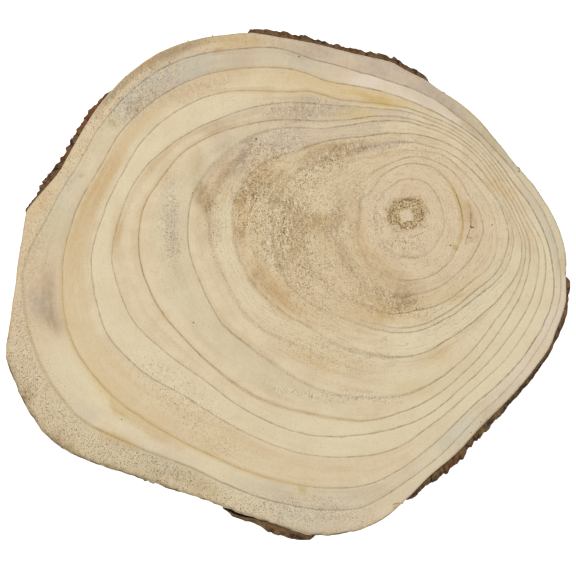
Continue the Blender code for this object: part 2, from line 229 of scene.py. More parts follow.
# Stains that follow the rings: inner and outer line, first and last bearing, the share of the way out
# between the two lines where the stain starts and ends, colour and strength.
BANDS = (
    ("R1", "edge", 66, 128, 0.0, 1.0, "grey", 0.8),
    ("R1", "edge", 128, 150, 0.0, 1.0, "tan", 0.4),
    ("R1", "edge", 138, 158, 0.5, 1.0, "umber", 0.5),
    ("R1", "edge", 156, 188, 0.0, 1.0, "tan", 0.5),
    ("R1", "edge", 186, 208, 0.0, 1.0, "plum", 0.2),
    ("R1", "edge", 204, 250, 0.0, 1.0, "sage", 0.4),
    ("R1", "edge", 206, 240, 0.5, 1.0, "brown", 0.2),
    ("R1", "edge", 200, 262, 0.86, 1.0, "umber", 0.45),
    # This dark fringe at the very edge of the lower left is partly real bark remains and partly painted shade
    # standing in for the shaded side wall.
    ("R1", "edge", 206, 254, 0.95, 1.0, "soot", 1.0),
    ("R1", "edge", 250, 300, 0.0, 1.0, "grey", 0.25),
    ("R1", "edge", 300, 340, 0.0, 1.0, "chalk", 0.5),
    ("R1", "edge", 342, 66, 0.0, 1.0, "sage", 0.55),
    ("R1", "edge", 335, 66, 0.8, 1.0, "grey", 0.3),
    ("R2", "R1", 64, 114, 0.0, 1.0, "chalk", 0.95),
    ("R2", "R1", 120, 158, 0.0, 1.0, "slate", 0.6),
    ("R2", "R1", 160, 184, 0.0, 1.0, "sage", 0.35),
    ("R2", "R1", 184, 203, 0.0, 1.0, "plum", 0.28),
    ("R2", "R1", 206, 238, 0.0, 1.0, "cream", 0.45),
    ("R2", "R1", 238, 300, 0.0, 1.0, "slate", 0.15),
    ("R2", "R1", 300, 336, 0.0, 1.0, "chalk", 0.6),
    ("R2", "R1", 338, 6, 0.0, 1.0, "slate", 0.25),
    ("R2", "R1", 347, 9, 0.0, 1.0, "mist", 0.35),
    ("R2", "R1", 24, 64, 0.0, 1.0, "lilac", 0.4),
    ("R3", "R2", 62, 112, 0.0, 1.0, "lilac", 0.3),
    ("R3", "R2", 104, 208, 0.25, 0.92, "tan", 0.7),
    ("R3", "R2", 206, 264, 0.1, 0.9, "tan", 0.35),
    ("R3", "R2", 286, 344, 0.0, 1.0, "cream", 0.8),
    ("R4", "R3", 96, 130, 0.0, 1.0, "lilac", 0.4),
    ("R4", "R3", 146, 240, 0.0, 1.0, "cream", 0.45),
    ("R4", "R3", 250, 340, 0.0, 1.0, "cream", 0.7),
    ("R5", "R4", 92, 156, 0.0, 1.0, "grey", 0.3),
    ("R5", "R4", 240, 335, 0.0, 1.0, "cream", 0.6),
    ("R6", "R5", 270, 335, 0.0, 1.0, "cream", 0.5),
    ("G", "R6", 265, 325, 0.3, 1.0, "cream", 0.5),
    ("F", "G", 265, 340, 0.0, 1.0, "cream", 0.7),
    ("E", "F", 262, 330, 0.0, 1.0, "cream", 0.4),
    ("R6", "R5", 150, 250, 0.0, 0.7, "sage", 0.3),
    ("R6", "R5", 92, 150, 0.0, 1.0, "grey", 0.25),
    ("G", "R6", 160, 240, 0.0, 0.45, "cream", 0.5),
    ("G", "R6", 110, 165, 0.0, 1.0, "grey", 0.4),
    ("F", "G", 95, 205, 0.0, 1.0, "tan", 0.45),
    ("C", "F", 120, 250, 0.0, 1.0, "tan", 0.35),
    ("C", "D", 235, 300, 0.0, 1.0, "plum", 0.3),
    ("D", "E", 235, 300, 0.0, 1.0, "tan", 0.5),
    ("P", "C", 0, 359, 0.0, 1.0, "blush", 0.55),
    ("C", "E", 300, 130, 0.0, 1.0, "blush", 0.45),
)

# Stains that are round or long: pixel, half length, half width, turn in degrees, colour and strength.
SPOTS = (
    (255, 188, 9, 7, 0, "umber", 0.95),
    (246, 200, 6, 3, 30, "umber", 0.7),
    (262, 168, 13, 8, 30, "rust", 0.4),
    (278, 182, 10, 8, 0, "umber", 0.35),
    (282, 203, 10, 4, -20, "umber", 0.6),
    (204, 197, 14, 6, -75, "umber", 0.6),
    (211, 232, 9, 6, 80, "plum", 0.7),
    (224, 177, 18, 7, 80, "brown", 0.7),
    (238, 165, 12, 5, 55, "violet", 0.6),
    (250, 150, 12, 5, 55, "violet", 0.4),
    (222, 140, 8, 8, 0, "grey", 0.4),
    (216, 127, 13, 3, 18, "rust", 0.35),
    (197, 162, 8, 5, 90, "brown", 0.5),
    (275, 145, 16, 7, 30, "grey", 0.5),
    (337, 151, 20, 6, 12, "umber", 0.75),
    (314, 158, 12, 6, 20, "plum", 0.6),
    (378, 145, 18, 3, 8, "grey", 0.6),
    (244, 218, 17, 6, 88, "rust", 0.4),
    (243, 232, 7, 4, 90, "umber", 0.5),
    (262, 238, 13, 3, 88, "ochre", 0.6),
    (292, 238, 20, 10, 80, "umber", 0.55),
    (288, 255, 7, 4, 60, "umber", 0.85),
    (301, 248, 5, 3, 0, "umber", 0.6),
    (311, 221, 8, 6, 0, "umber", 0.8),
    (327, 222, 12, 6, -10, "brown", 0.7),
    (337, 212, 22, 4, 80, "violet", 0.4),
    (346, 260, 20, 4, -57, "umber", 0.6),
    (308, 269, 12, 3, -60, "umber", 0.55),
    (258, 275, 7, 4, 60, "umber", 0.7),
    (274, 290, 17, 6, -50, "rust", 0.95),
    (284, 296, 24, 10, -52, "ochre", 0.35),
    (373, 308, 13, 5, -15, "rust", 0.95),
    (388, 313, 24, 6, -6, "ochre", 0.6),
    (386, 297, 20, 6, -5, "umber", 0.5),
    (407, 299, 7, 5, 0, "umber", 0.65),
    (362, 244, 19, 4, -78, "ochre", 0.5),
    (355, 215, 19, 4, 88, "plum", 0.6),
    (382, 268, 17, 8, -45, "rust", 0.35),
    (396, 280, 16, 6, -15, "brown", 0.5),
    (285, 220, 50, 44, 80, "tan", 0.2),
    (325, 285, 44, 24, -40, "tan", 0.7),
    (311, 350, 18, 9, -30, "ochre", 0.3),
    (343, 366, 16, 6, -10, "ochre", 0.2),
    (437, 354, 10, 7, 30, "ochre", 0.35),
    (413, 388, 12, 6, 10, "ochre", 0.35),
    (457, 374, 20, 10, 40, "tan", 0.5),
    (464, 290, 13, 4, 32, "ochre", 0.45),
    (440, 302, 16, 4, 15, "tan", 0.5),
    (458.5, 200, 7, 1.8, -64, "olive", 0.6),
    (467, 214, 7, 2.4, -78, "rust", 0.65),
    (472, 224, 10, 4, -85, "plum", 0.45),
    (470, 238, 4, 3, 0, "brown", 0.5),
    (454, 248.5, 2.6, 1.4, -50, "olive", 0.7),
    (373, 98, 18, 4, -12, "yellow", 0.9),
    (373, 98, 10, 2.4, -12, "rust", 0.4),
    (402, 104, 20, 3, -12, "yellow", 0.3),
    (330, 88, 40, 4, -6, "yellow", 0.25),
    (355, 115, 13, 4, 4, "yellow", 0.55),
    (501, 190, 15, 4, -48, "ochre", 0.4),
    (218, 50, 4, 2, 0, "rust", 0.8),
    (236, 41, 16, 4, 4, "yellow", 0.55),
    (254, 41, 5, 3, 0, "rust", 0.45),
    (240, 53, 10, 8, 0, "plum", 0.8),
    (272, 57, 24, 6, -3, "lilac", 0.5),
    (168, 56, 24, 4, 25, "violet", 0.7),
    (147, 63, 7, 3, 30, "rust", 0.45),
    (116, 88, 13, 4, 45, "violet", 0.6),
    (140, 98, 18, 9, 45, "mist", 0.8),
    (182, 72, 26, 9, 26, "mist", 0.5),
    (133, 110, 8, 4, 50, "violet", 0.5),
    (113, 122, 4, 3.5, 0, "olive", 0.85),
    (82, 175, 3, 2, 0, "rust", 0.6),
    (41, 198, 11, 5, 60, "rust", 0.3),
    (68, 190, 15, 6, 60, "mist", 0.35),
    (55, 225, 12, 9, 60, "sage", 0.4),
    (40, 272, 22, 12, 80, "plum", 0.3),
    (50, 287, 9, 4, 90, "violet", 0.5),
    (46, 312, 15, 7, -60, "violet", 0.75),
    (38, 305, 12, 9, 0, "mist", 0.3),
    (68, 360, 15, 11, -60, "cream", 0.7),
    (98, 392, 22, 8, -45, "cream", 0.5),
    (84, 412, 10, 5, -40, "grey", 0.5),
    (24, 395, 8, 5, 60, "umber", 0.6),
    (114, 438, 11, 2.6, -24, "ochre", 0.8),
    (120, 446, 14, 4, -20, "brown", 0.4),
    (66, 446, 10, 3, -48, "umber", 0.45),
    (182, 475, 22, 5, -25, "umber", 0.3),
    (206, 491, 14, 4, -28, "rust", 0.3),
    (162, 455, 24, 6, -22, "mist", 0.25),
    (265, 490, 22, 8, -15, "slate", 0.5),
    (305, 516, 30, 8, -5, "mist", 0.4),
    (345, 497, 22, 8, 6, "mist", 0.25),
    (118, 408, 7, 2.5, -48, "rust", 0.7),
    (152, 430, 20, 3.5, -33, "rust", 0.5),
    (112, 398, 22, 4, -46, "yellow", 0.45),
    (135, 405, 30, 7, -45, "tan", 0.5),
    (215, 433, 40, 10, -28, "tan", 0.5),
    (458, 434, 15, 5, 45, "frost", 1.0),
    (446, 444, 5, 4, 45, "slate", 0.8),
    (420, 468, 14, 6, 32, "lilac", 0.5),
    (303, 490, 2.5, 2.5, 0, "olive", 0.7),
    (546, 224, 14, 3, -70, "mist", 0.2),
    (540, 230, 14, 6, -70, "cream", 0.6),
    (432, 461, 16, 7, 45, "cream", 0.7),
    (250, 470, 20, 6, -20, "cream", 0.4),
    (325, 285, 45, 22, 0, "blush", 0.4),
    (562, 268, 8, 3, 90, "rust", 0.35),
    (474, 128, 32, 4, -42, "violet", 0.45),
    (346, 70, 12, 5, 0, "plum", 0.5),
    (302, 50, 16, 6, -8, "violet", 0.3),
    (306, 109, 28, 8, 2, "violet", 0.4),
    (172, 222, 28, 5, -84, "grey", 0.5),
    (118, 232, 15, 3.5, 86, "rust", 0.4),
    (158, 164, 14, 4, 52, "rust", 0.25),
    (98, 190, 28, 6, 62, "rust", 0.4),
    (150, 100, 22, 6, 42, "rust", 0.22),
    (196, 88, 34, 5, 20, "plum", 0.5),
    (420, 92, 16, 5, -32, "grey", 0.6),
    (74, 255, 24, 5, 86, "rust", 0.2),
    (404, 193, 4, 1.4, 84, "brown", 0.5),
    (401, 206, 4.5, 2.6, -10, "rust", 0.5),
)

# Where the saw has torn the wood up into a rough nap: pixel, half length, half width, turn and strength.
ROUGH_SPOTS = (
    (262, 155, 28, 14, 25, 0.8),
    (255, 200, 30, 16, 80, 1.0),
    (285, 225, 36, 22, 80, 1.0),
    (300, 270, 36, 18, 125, 0.8),
    (320, 170, 30, 12, 35, 0.9),
    (345, 150, 24, 7, 12, 0.9),
    (335, 225, 26, 16, 90, 0.7),
    (345, 280, 30, 14, 150, 0.65),
    (390, 303, 32, 9, 165, 0.8),
    (400, 245, 16, 8, 0, 0.8),
    (378, 215, 16, 8, 90, 0.7),
    (360, 190, 16, 8, 60, 0.5),
    (172, 225, 34, 7, 92, 0.7),
    (215, 215, 26, 8, 88, 0.7),
    (320, 350, 34, 12, 160, 0.45),
    (315, 395, 30, 3, 172, 0.8),
    (365, 397, 26, 2.5, 178, 0.9),
    (300, 110, 26, 7, 4, 0.7),
    (280, 130, 16, 7, 20, 0.6),
    (180, 400, 40, 14, -38, 0.5),
    (215, 440, 26, 9, -30, 0.4),
    (60, 420, 40, 12, -50, 0.5),
    (30, 380, 16, 10, 80, 0.7),
    (135, 460, 40, 8, -24, 0.5),
    (300, 510, 44, 9, -6, 0.7),
    (145, 92, 30, 12, 40, 0.7),
    (105, 110, 24, 8, 50, 0.7),
    (75, 160, 40, 6, 60, 0.4),
    (34, 235, 34, 8, 78, 0.5),
    (22, 340, 30, 7, 88, 0.5),
    (200, 88, 30, 6, 20, 0.35),
    (375, 122, 16, 4, 8, 0.4),
    (380, 145, 20, 4, 5, 0.7),
    (420, 150, 16, 6, -10, 0.4),
)

# Thin marks: colour, strength, half width in mm, how broken up, then the pixels that they run through. First
# the check beside the pith, then the stain along ring C, what marks out the crumbly ring, and the edge.
STROKES = (
    ("soot", 0.75, 0.45, 0.4,
     ((470.3, 212.8), (471.3, 216.1), (470.7, 219.4), (471.1, 223.9), (470.6, 226.1))),
    ("soot", 1.0, 0.65, 0.2, ((470.6, 226.1), (471.4, 227.6), (473.3, 227.4))),
    ("soot", 0.6, 0.45, 0.4, ((470.8, 228.0), (469.1, 231.7), (467.4, 236.1), (465.6, 243.7))),
    ("soot", 0.5, 0.5, 0.3, ((467.1, 236.1), (469.3, 237.8), (471.3, 237.4))),
    ("moss", 0.3, 0.5, 0.0,
     ((452.0, 187.0), (456.4, 194.1), (460.8, 207.0), (463.4, 220.0), (463.4, 230.0))),
    ("moss", 0.35, 0.5, 0.0, ((456.4, 194.1), (460.8, 207.0), (462.6, 216.0))),
    ("crumb", 0.75, 0.5, 0.3, ((400.2, 201.7), (403.8, 199.9), (407.3, 199.4), (411.2, 199.9))),
    ("crumb", 0.55, 0.6, 0.9, ((411.2, 199.9), (416.9, 199.5), (420.8, 201.5), (425.4, 205.3))),
    ("crumb", 0.5, 0.5, 0.7, ((425.4, 205.3), (428.1, 211.1), (430.0, 214.5))),
    ("crumb", 0.6, 0.8, 1.0, ((421.2, 206.5), (421.9, 211.0), (422.5, 215.0), (422.0, 221.0))),
    ("crumb", 0.6, 0.9, 1.0,
     ((394.0, 201.5), (391.0, 207.2), (389.5, 212.0), (389.9, 217.0), (391.5, 222.5))),
    ("crumb", 0.9, 0.5, 0.7, ((404.4, 223.6), (406.5, 221.8), (408.6, 221.4), (411.6, 221.5))),
    ("crumb", 0.75, 0.6, 0.6, ((399.8, 223.8), (401.2, 226.5), (402.2, 228.3), (405.5, 227.8))),
    ("crumb", 0.45, 1.0, 0.8, ((395.5, 216.5), (397.0, 220.5), (399.8, 223.8))),
    ("crumb", 0.6, 0.7, 0.8, ((393.5, 229.5), (396.5, 231.3), (403.0, 232.0))),
    ("crumb", 0.6, 0.6, 0.8, ((424.0, 232.0), (420.0, 234.3), (413.0, 236.6))),
    ("crumb", 0.6, 0.6, 0.9, ((428.3, 225.5), (425.0, 227.5), (420.5, 225.0))),
    ("olive", 1.0, 1.5, 0.2, ((394.6, 508.0), (398.0, 505.6))),
    ("soot", 0.7, 0.6, 0.5, ((393.2, 504.4), (397.0, 503.2), (400.5, 503.2))),
    ("umber", 0.7, 1.2, 0.8, ((25.0, 397.0), (28.5, 401.5))),
)

# Dark dots: a pixel and a radius in mm.
DOTS = (
    (450.5, 245.3, 0.7),
    (256.5, 139.0, 0.8),
    (272.0, 109.0, 0.5),
    (299.0, 56.5, 0.7),
    (492.0, 225.0, 0.6),
    (481.0, 422.0, 0.5),
    (471.0, 432.5, 0.5),
    (121.5, 419.5, 0.5),
    (192.5, 193.0, 0.5),
    (193.5, 322.6, 0.7),
    (137.5, 110.5, 0.6),
    (519.0, 171.5, 0.7),
    (169.5, 62.5, 0.6),
    (82.0, 155.0, 0.5),
    (29.0, 399.0, 0.7),
)

# Name: first and last bearing, then thickness and lift off the wood, each at even steps along the strip.
BARK_STRIPS = {
    "bark_top": (
        82.4,
        130.8,
        (1.8, 3.5, 3.9, 3.4, 3.8, 3.3, 3.6, 3.6, 4.9, 5.1, 4.1),
        (0.0, 0.0, 0.0, 0.0, 0.0, 0.0, 0.0, 0.0, 0.0, 0.1, 0.3),
    ),
    "bark_left": (
        157.8,
        179.6,
        (1.4, 2.5, 3.5, 3.3, 3.3, 3.2, 3.3, 5.2, 4.6, 1.7, 1.6),
        (0.2, 0.0, 0.0, 0.0, 0.0, 0.0, 0.0, 0.0, 0.0, 0.0, 0.2),
    ),
    "bark_right": (
        270.4,
        337.2,
        (2.5, 5.3, 4.7, 4.3, 3.8, 2.5, 2.6, 2.5, 3.1, 1.8, 3.3),
        (0.5, 0.3, 0.1, 0.0, 0.0, 0.0, 0.0, 0.0, 0.0, 0.0, 0.3),
    ),
    "bark_bottom": (
        238.4,
        253.6,
        (1.0, 2.0, 1.8, 2.7, 3.1, 3.7, 5.5, 4.2, 4.8, 4.1, 3.1),
        (1.7, 1.6, 1.4, 1.0, 0.5, 0.2, 0.0, 0.0, 0.0, 0.1, 0.4),
    ),
}

# What sticks to the edge under the sawn face: bearing, length, width, lean out of the wall in degrees, tint.
EDGE_BITS = (
    (9.2, 2.6, 0.45, 78, "brown"),
    (21.6, 3.0, 1.3, 12, "soot"),
    (72.8, 1.8, 0.8, 20, "crumb"),
    (137.5, 2.0, 0.6, 40, "brown"),
    (141.7, 1.8, 0.7, 35, "crumb"),
    (157.5, 2.0, 1.2, 15, "soot"),
    (225.3, 3.0, 1.5, 14, "soot"),
    (226.4, 4.2, 1.7, 4, "soot"),
    (268.9, 1.8, 0.8, 22, "crumb"),
)

# Bark: its gap to the wood, how high it goes, and its points.
BARK_GAP = 0.3
BARK_GAP_AT_FACE = 0.04
BARK_TOP = THICKNESS - 0.5
BARK_BOTTOM = 0.4
BARK_STEP = 0.6
BARK_OUTER_ROWS = 40
BARK_CUT_ROWS = 5
BARK_INNER_ROWS = 10
END_RAGGEDNESS = 2.2
EDGE_NICKS = 1.4

# The side wall: rows of points down it, inset at its rims, how far it stands out at the faces and how much it
# draws in between. Then how far inside the edge the outermost row of the underside lies.
WALL_ROWS = 11
RIM_INSET = 0.18
SWELL_AT_FACES = 0.25
WAIST = 0.7
UNDERSIDE_INSET = 2.0

# Material slots of the wood, the distance that counts as far from any line, and points of one crumb.
TOP, SIDE, UNDER = 0, 1, 2
FAR = 9.0
CRUMB_RINGS = 5
CRUMB_SIDES = 7

# In metres: the bottom of the dimple at the pith of the solid, and how near to it counts as the same height.
DIMPLE_HEIGHT = 0.0273
SAME_HEIGHT = 0.00005


def around(chart, bearings):
    """The chart's values at these bearings, by a cubic that never overshoots the values beside it."""
    known = np.array(sorted(chart), float)
    values = np.array([chart[b] for b in sorted(chart)], float).reshape(len(known), -1)
    known = np.concatenate([known[-2:] - 360, known, known[:2] + 360])
    values = np.concatenate([values[-2:], values, values[:2]])
    slopes = np.diff(values, axis=0) / np.diff(known)[:, None]
    both = slopes[:-1] * slopes[1:]
    sums = slopes[:-1] + slopes[1:]
    tangents = np.zeros_like(values)
    tangents[1:-1] = np.where(both > 0, 2 * both / np.where(both > 0, sums, 1), 0)
    bearings = np.asarray(bearings, float) % 360
    start = np.searchsorted(known, bearings, side="right") - 1
    span = (known[start + 1] - known[start])[:, None]
    t = (bearings[:, None] - known[start][:, None]) / span
    return (
        (1 + 2 * t) * (1 - t) ** 2 * values[start]
        + t * (1 - t) ** 2 * span * tangents[start]
        + t * t * (3 - 2 * t) * values[start + 1]
        + t * t * (t - 1) * span * tangents[start + 1]
    )


def edge_at(bearings):
    return around(WOOD_EDGE, bearings)[:, 0]


def all_round(columns):
    """Bearings at even steps, once round the pith."""
    return 360 * np.arange(columns) / columns


def spread(distances, bearings):
    """x and y from the pith at these distances and bearings."""
    turn = np.radians(bearings)
    return distances * np.cos(turn), distances * np.sin(turn)


def side_reach(bearings, height):
    """How far the side wall is from the pith at this height, with its flutes, dents and fibres."""
    edge = edge_at(bearings)
    x, y = spread(edge, bearings)
    fibres = 0.22 * clouds(x + 0.1 * height, y, 2.2, 41) + 0.12 * clouds(x, y + 0.2 * height, 0.9, 42)
    dents = 0.35 * clouds(x + 0.5 * height, y - 0.5 * height, 9, 43)
    middle = np.sin(math.pi * height / THICKNESS)
    relief = (fibres + dents) * (0.35 + 0.65 * middle)
    torn = 0.5 * within(bearings, 204, 260, 4) * clouds(x, y, 3.2, 48)
    return edge + wall_offset(bearings, height) + relief + SWELL_AT_FACES - WAIST * middle + torn


def clouds(x, y, size, seed):
    """Smooth random values between -1 and 1 over x and y, where one cloud is `size` wide."""
    table = np.random.default_rng(seed).uniform(-1, 1, (64, 64))
    u, v = np.asarray(x, float) / size, np.asarray(y, float) / size
    i, j = np.floor(u).astype(int), np.floor(v).astype(int)
    s, t = u - i, v - j
    s, t = s * s * (3 - 2 * s), t * t * (3 - 2 * t)

    def corner(a, b):
        return table[(i + a) % 64, (j + b) % 64]

    low = corner(0, 0) * (1 - s) + corner(1, 0) * s
    high = corner(0, 1) * (1 - s) + corner(1, 1) * s
    return low * (1 - t) + high * t


def ripple(place, seed):
    """The same uneven wave as on the solid bark; `place` grows by 1 from one bump to the next."""
    shift = np.random.default_rng(seed).uniform(0, 2 * math.pi, 3)
    waves = [np.sin(2 * math.pi * rate * place + turn) for rate, turn in zip((1, 0.61, 0.37), shift)]
    return sum(waves) / 2.2


def wall_offset(bearings, heights):
    """How far the side wall stands out from the edge chart: broad flutes that fade towards both faces."""
    share = np.sin(math.pi * np.clip(np.asarray(heights) / THICKNESS, 0, 1))
    turn = np.radians(bearings)
    flutes = np.sin(5 * turn + 0.8) + 0.6 * np.sin(11 * turn + 2.1) + 0.4 * np.sin(23 * turn)
    return WALL_WAVE * share * flutes / 2


def within(bearings, first, last, soft=6.0):
    """1 between two bearings, going counter-clockwise, and fading to 0 over `soft` degrees outside them."""
    middle = first + ((last - first) % 360) / 2
    half = ((last - first) % 360) / 2
    away = np.abs((np.asarray(bearings) - middle + 180) % 360 - 180)
    return np.clip((half - away) / soft + 1, 0, 1)


def smooth(value):
    value = np.clip(value, 0, 1)
    return value * value * (3 - 2 * value)


def linear(colour):
    """A named sRGB colour as Blender's linear values."""
    share = np.array(COLOURS[colour], float) / 255
    return np.where(share <= 0.04045, share / 12.92, ((share + 0.055) / 1.055) ** 2.4)


def from_photo(x, y):
    """A pixel of the photograph as millimetres right of and above the pith."""
    return (x - PHOTO_PITH[0]) * PHOTO_MM, (PHOTO_PITH[1] - y) * PHOTO_MM


def pith_place():
    """The frame's place of the pith: the one point at the bottom of the dimple in the solid's top face."""
    points = np.array([v.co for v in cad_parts["wood"].data.vertices])
    lowest = np.abs(points[:, 2] - DIMPLE_HEIGHT) < SAME_HEIGHT
    return points[lowest][0][:2] / MM


PITH = pith_place()


def line_charts(bearings):
    """Distances of every line and of the edge, one row per bearing."""
    cores = around(RING_CORES, bearings)
    twin = around(TWIN_SHARE, bearings)[:, 0]
    h_share = around(H_SHARE, bearings)[:, 0]
    rows = {name: cores[:, i] for i, name in enumerate(n for n in LINES if n not in ("F_twin", "H"))}
    rows["F_twin"] = rows["E"] + twin * (rows["F"] - rows["E"])
    rows["H"] = rows["G"] + h_share * (rows["R6"] - rows["G"])
    for seed, name in enumerate(LINES):
        x, y = spread(rows[name], bearings)
        rows[name] = rows[name] + 0.22 * np.minimum(rows[name] / 60, 1) * clouds(x, y, 5, 71 + seed)
    rows["edge"] = side_reach(bearings, THICKNESS)
    return rows


def spot_mask(x, y, spot):
    """How strongly a round or long mark covers points given in millimetres from the pith."""
    px, py, half_length, half_width, turn = spot[:5]
    cx, cy = from_photo(px, py)
    c, s = math.cos(math.radians(turn)), math.sin(math.radians(turn))
    along = ((x - cx) * c + (y - cy) * s) / half_length
    across = (-(x - cx) * s + (y - cy) * c) / half_width
    return np.exp(-1.4 * (along**2 + across**2) ** 1.5)


def in_box(x, y, z):
    """Points in metres in the shared frame, from millimetres off the pith, held inside the solids' box."""
    points = np.stack(np.broadcast_arrays(x + PITH[0], y + PITH[1], z), axis=-1) * MM
    return np.clip(points, cad_box[0], cad_box[1])


def mesh_object(name, points, faces, materials, colour_name, colours):
    """A smooth object of these points and faces, with a colour at each point."""
    mesh = bpy.data.meshes.new(name)
    mesh.from_pydata(points.tolist(), [], faces)
    for material in materials:
        mesh.materials.append(material)
    mesh.polygons.foreach_set("use_smooth", [True] * len(mesh.polygons))
    attribute = mesh.color_attributes.new(colour_name, "FLOAT_COLOR", "POINT")
    opaque = np.concatenate([colours, np.ones((len(colours), 1))], axis=1)
    attribute.data.foreach_set("color", opaque.astype(np.float32).ravel())
    made = bpy.data.objects.new(name, mesh)
    bpy.context.scene.collection.objects.link(made)
    return made


class Sheet:
    """Points in rings around the pith, with the values that the materials read at each."""

    VALUES = (
        "line_distance",
        "line_ink",
        "line_warmth",
        "line_specks",
        "ring_place",
        "stain_amount",
        "rough",
        "speckle",
        "pith",
    )

    def __init__(self):
        self.points = []
        self.faces = []
        self.kinds = []
        self.count = 0
        self.values = {name: [] for name in self.VALUES}
        self.stains = []

    def loop(self, x, y, z, stain, **values):
        count = len(x)
        self.points.append(in_box(x, y, z))
        self.stains.append(np.broadcast_to(stain, (count, 3)))
        for name in self.VALUES:
            self.values[name].append(np.broadcast_to(values.get(name, 0.0), count))
        self.count += count
        return np.arange(self.count - count, self.count)

    def centre(self, height, **values):
        return self.loop(np.zeros(1), np.zeros(1), np.full(1, height), linear("cream"), **values)[0]

    def band(self, inner, outer, kind):
        """Quads between two loops of the same number of points, or triangles where one has twice as many."""
        if len(inner) == len(outer):
            new = np.stack([inner, outer, np.roll(outer, -1), np.roll(inner, -1)], axis=1)
            self.faces.extend(map(tuple, new.tolist()))
        else:
            few, many, turned = (inner, outer, False) if len(inner) < len(outer) else (outer, inner, True)
            for i in range(len(few)):
                here, there = int(few[i]), int(few[(i + 1) % len(few)])
                a, b = int(many[2 * i]), int(many[2 * i + 1])
                c = int(many[(2 * i + 2) % len(many)])
                for face in ((here, a, b), (here, b, there), (b, c, there)):
                    self.faces.append(tuple(reversed(face)) if turned else face)
        self.fill_kinds(kind)

    def fan(self, centre, outer, kind):
        for i in range(len(outer)):
            self.faces.append((int(centre), int(outer[i]), int(outer[(i + 1) % len(outer)])))
        self.fill_kinds(kind)

    def fill_kinds(self, kind):
        self.kinds.extend([kind] * (len(self.faces) - len(self.kinds)))

    def object(self, name, materials):
        points, stains = np.concatenate(self.points), np.concatenate(self.stains)
        made = mesh_object(name, points, self.faces, materials, "stain", stains)
        made.data.polygons.foreach_set("material_index", self.kinds)
        for value_name, parts in self.values.items():
            attribute = made.data.attributes.new(value_name, "FLOAT", "POINT")
            attribute.data.foreach_set("value", np.concatenate(parts).astype(np.float32))
        return made


def stained(stain, bare, colour, cover):
    """One more stain over the others: the colour with it, and the share that stays bare."""
    share = cover / np.maximum(cover + 1 - bare, 0.001)
    return stain + (linear(colour) - stain) * share[:, None], bare * (1 - cover)


def face_stain(x, y, bearings, distances, charts):
    """What stains the sawn face at each point, along the rings and in loose spots: its colour and amount."""
    warp_x = x + 1.6 * clouds(x, y, 9, 1) + 0.9 * clouds(x, y, 3.1, 2)
    warp_y = y + 1.6 * clouds(x, y, 9, 3) + 0.9 * clouds(x, y, 3.1, 4)
    stain = np.broadcast_to(linear("base"), (len(x), 3)).copy()
    bare = np.ones(len(x))
    for inner, outer, first, last, start, end, colour, strength in BANDS:
        share = (distances - charts[inner]) / np.maximum(charts[outer] - charts[inner], 0.5)
        cover = within(bearings, first, last, 8)
        cover = cover * smooth((share - start) / (0.25 if start else 0.04) + 0.5)
        cover = cover * smooth((end - share) / (0.25 if end < 1 else 0.04) + 0.5)
        cover = np.clip(strength * cover * (1 + 0.5 * clouds(x, y, 12, 7)), 0, 1)
        stain, bare = stained(stain, bare, colour, cover)
    for spot in SPOTS:
        cover = np.clip(spot[6] * spot_mask(warp_x, warp_y, spot), 0, 1)
        stain, bare = stained(stain, bare, spot[5], cover)
    return stain, 1 - bare


def roughness_of(x, y):
    warp_x = x + 3.0 * clouds(x, y, 8, 11)
    warp_y = y + 3.0 * clouds(x, y, 8, 12)
    cover = np.zeros(len(x))
    for spot in ROUGH_SPOTS:
        cover = np.maximum(cover, spot[5] * spot_mask(warp_x, warp_y, spot))
    return cover * (1 + 0.25 * clouds(x, y, 5, 13))


def strongest(table, name, bearings):
    """The highest strength that the table's rows give this line at each bearing."""
    most = np.zeros(len(bearings))
    for line, first, last, strength in table:
        if line == name:
            most = np.maximum(most, strength * within(bearings, first, last, 12))
    return most


def ink_of(name, bearings):
    return around({30 * i: v for i, v in enumerate(INK[name])}, bearings)[:, 0]


def line_values(name, bearings):
    warm = strongest(WARM_LINES, name, bearings)
    return ink_of(name, bearings), warm, strongest(SPECKLED_LINES, name, bearings)


def line_slant(distances, bearings):
    """How much nearer a line is than it looks along the bearing, because it runs at a slant."""
    step = np.radians(bearings[1] - bearings[0])
    rise = (np.roll(distances, -1) - np.roll(distances, 1)) / (2 * step)
    return 1 / np.sqrt(1 + (rise / distances) ** 2)


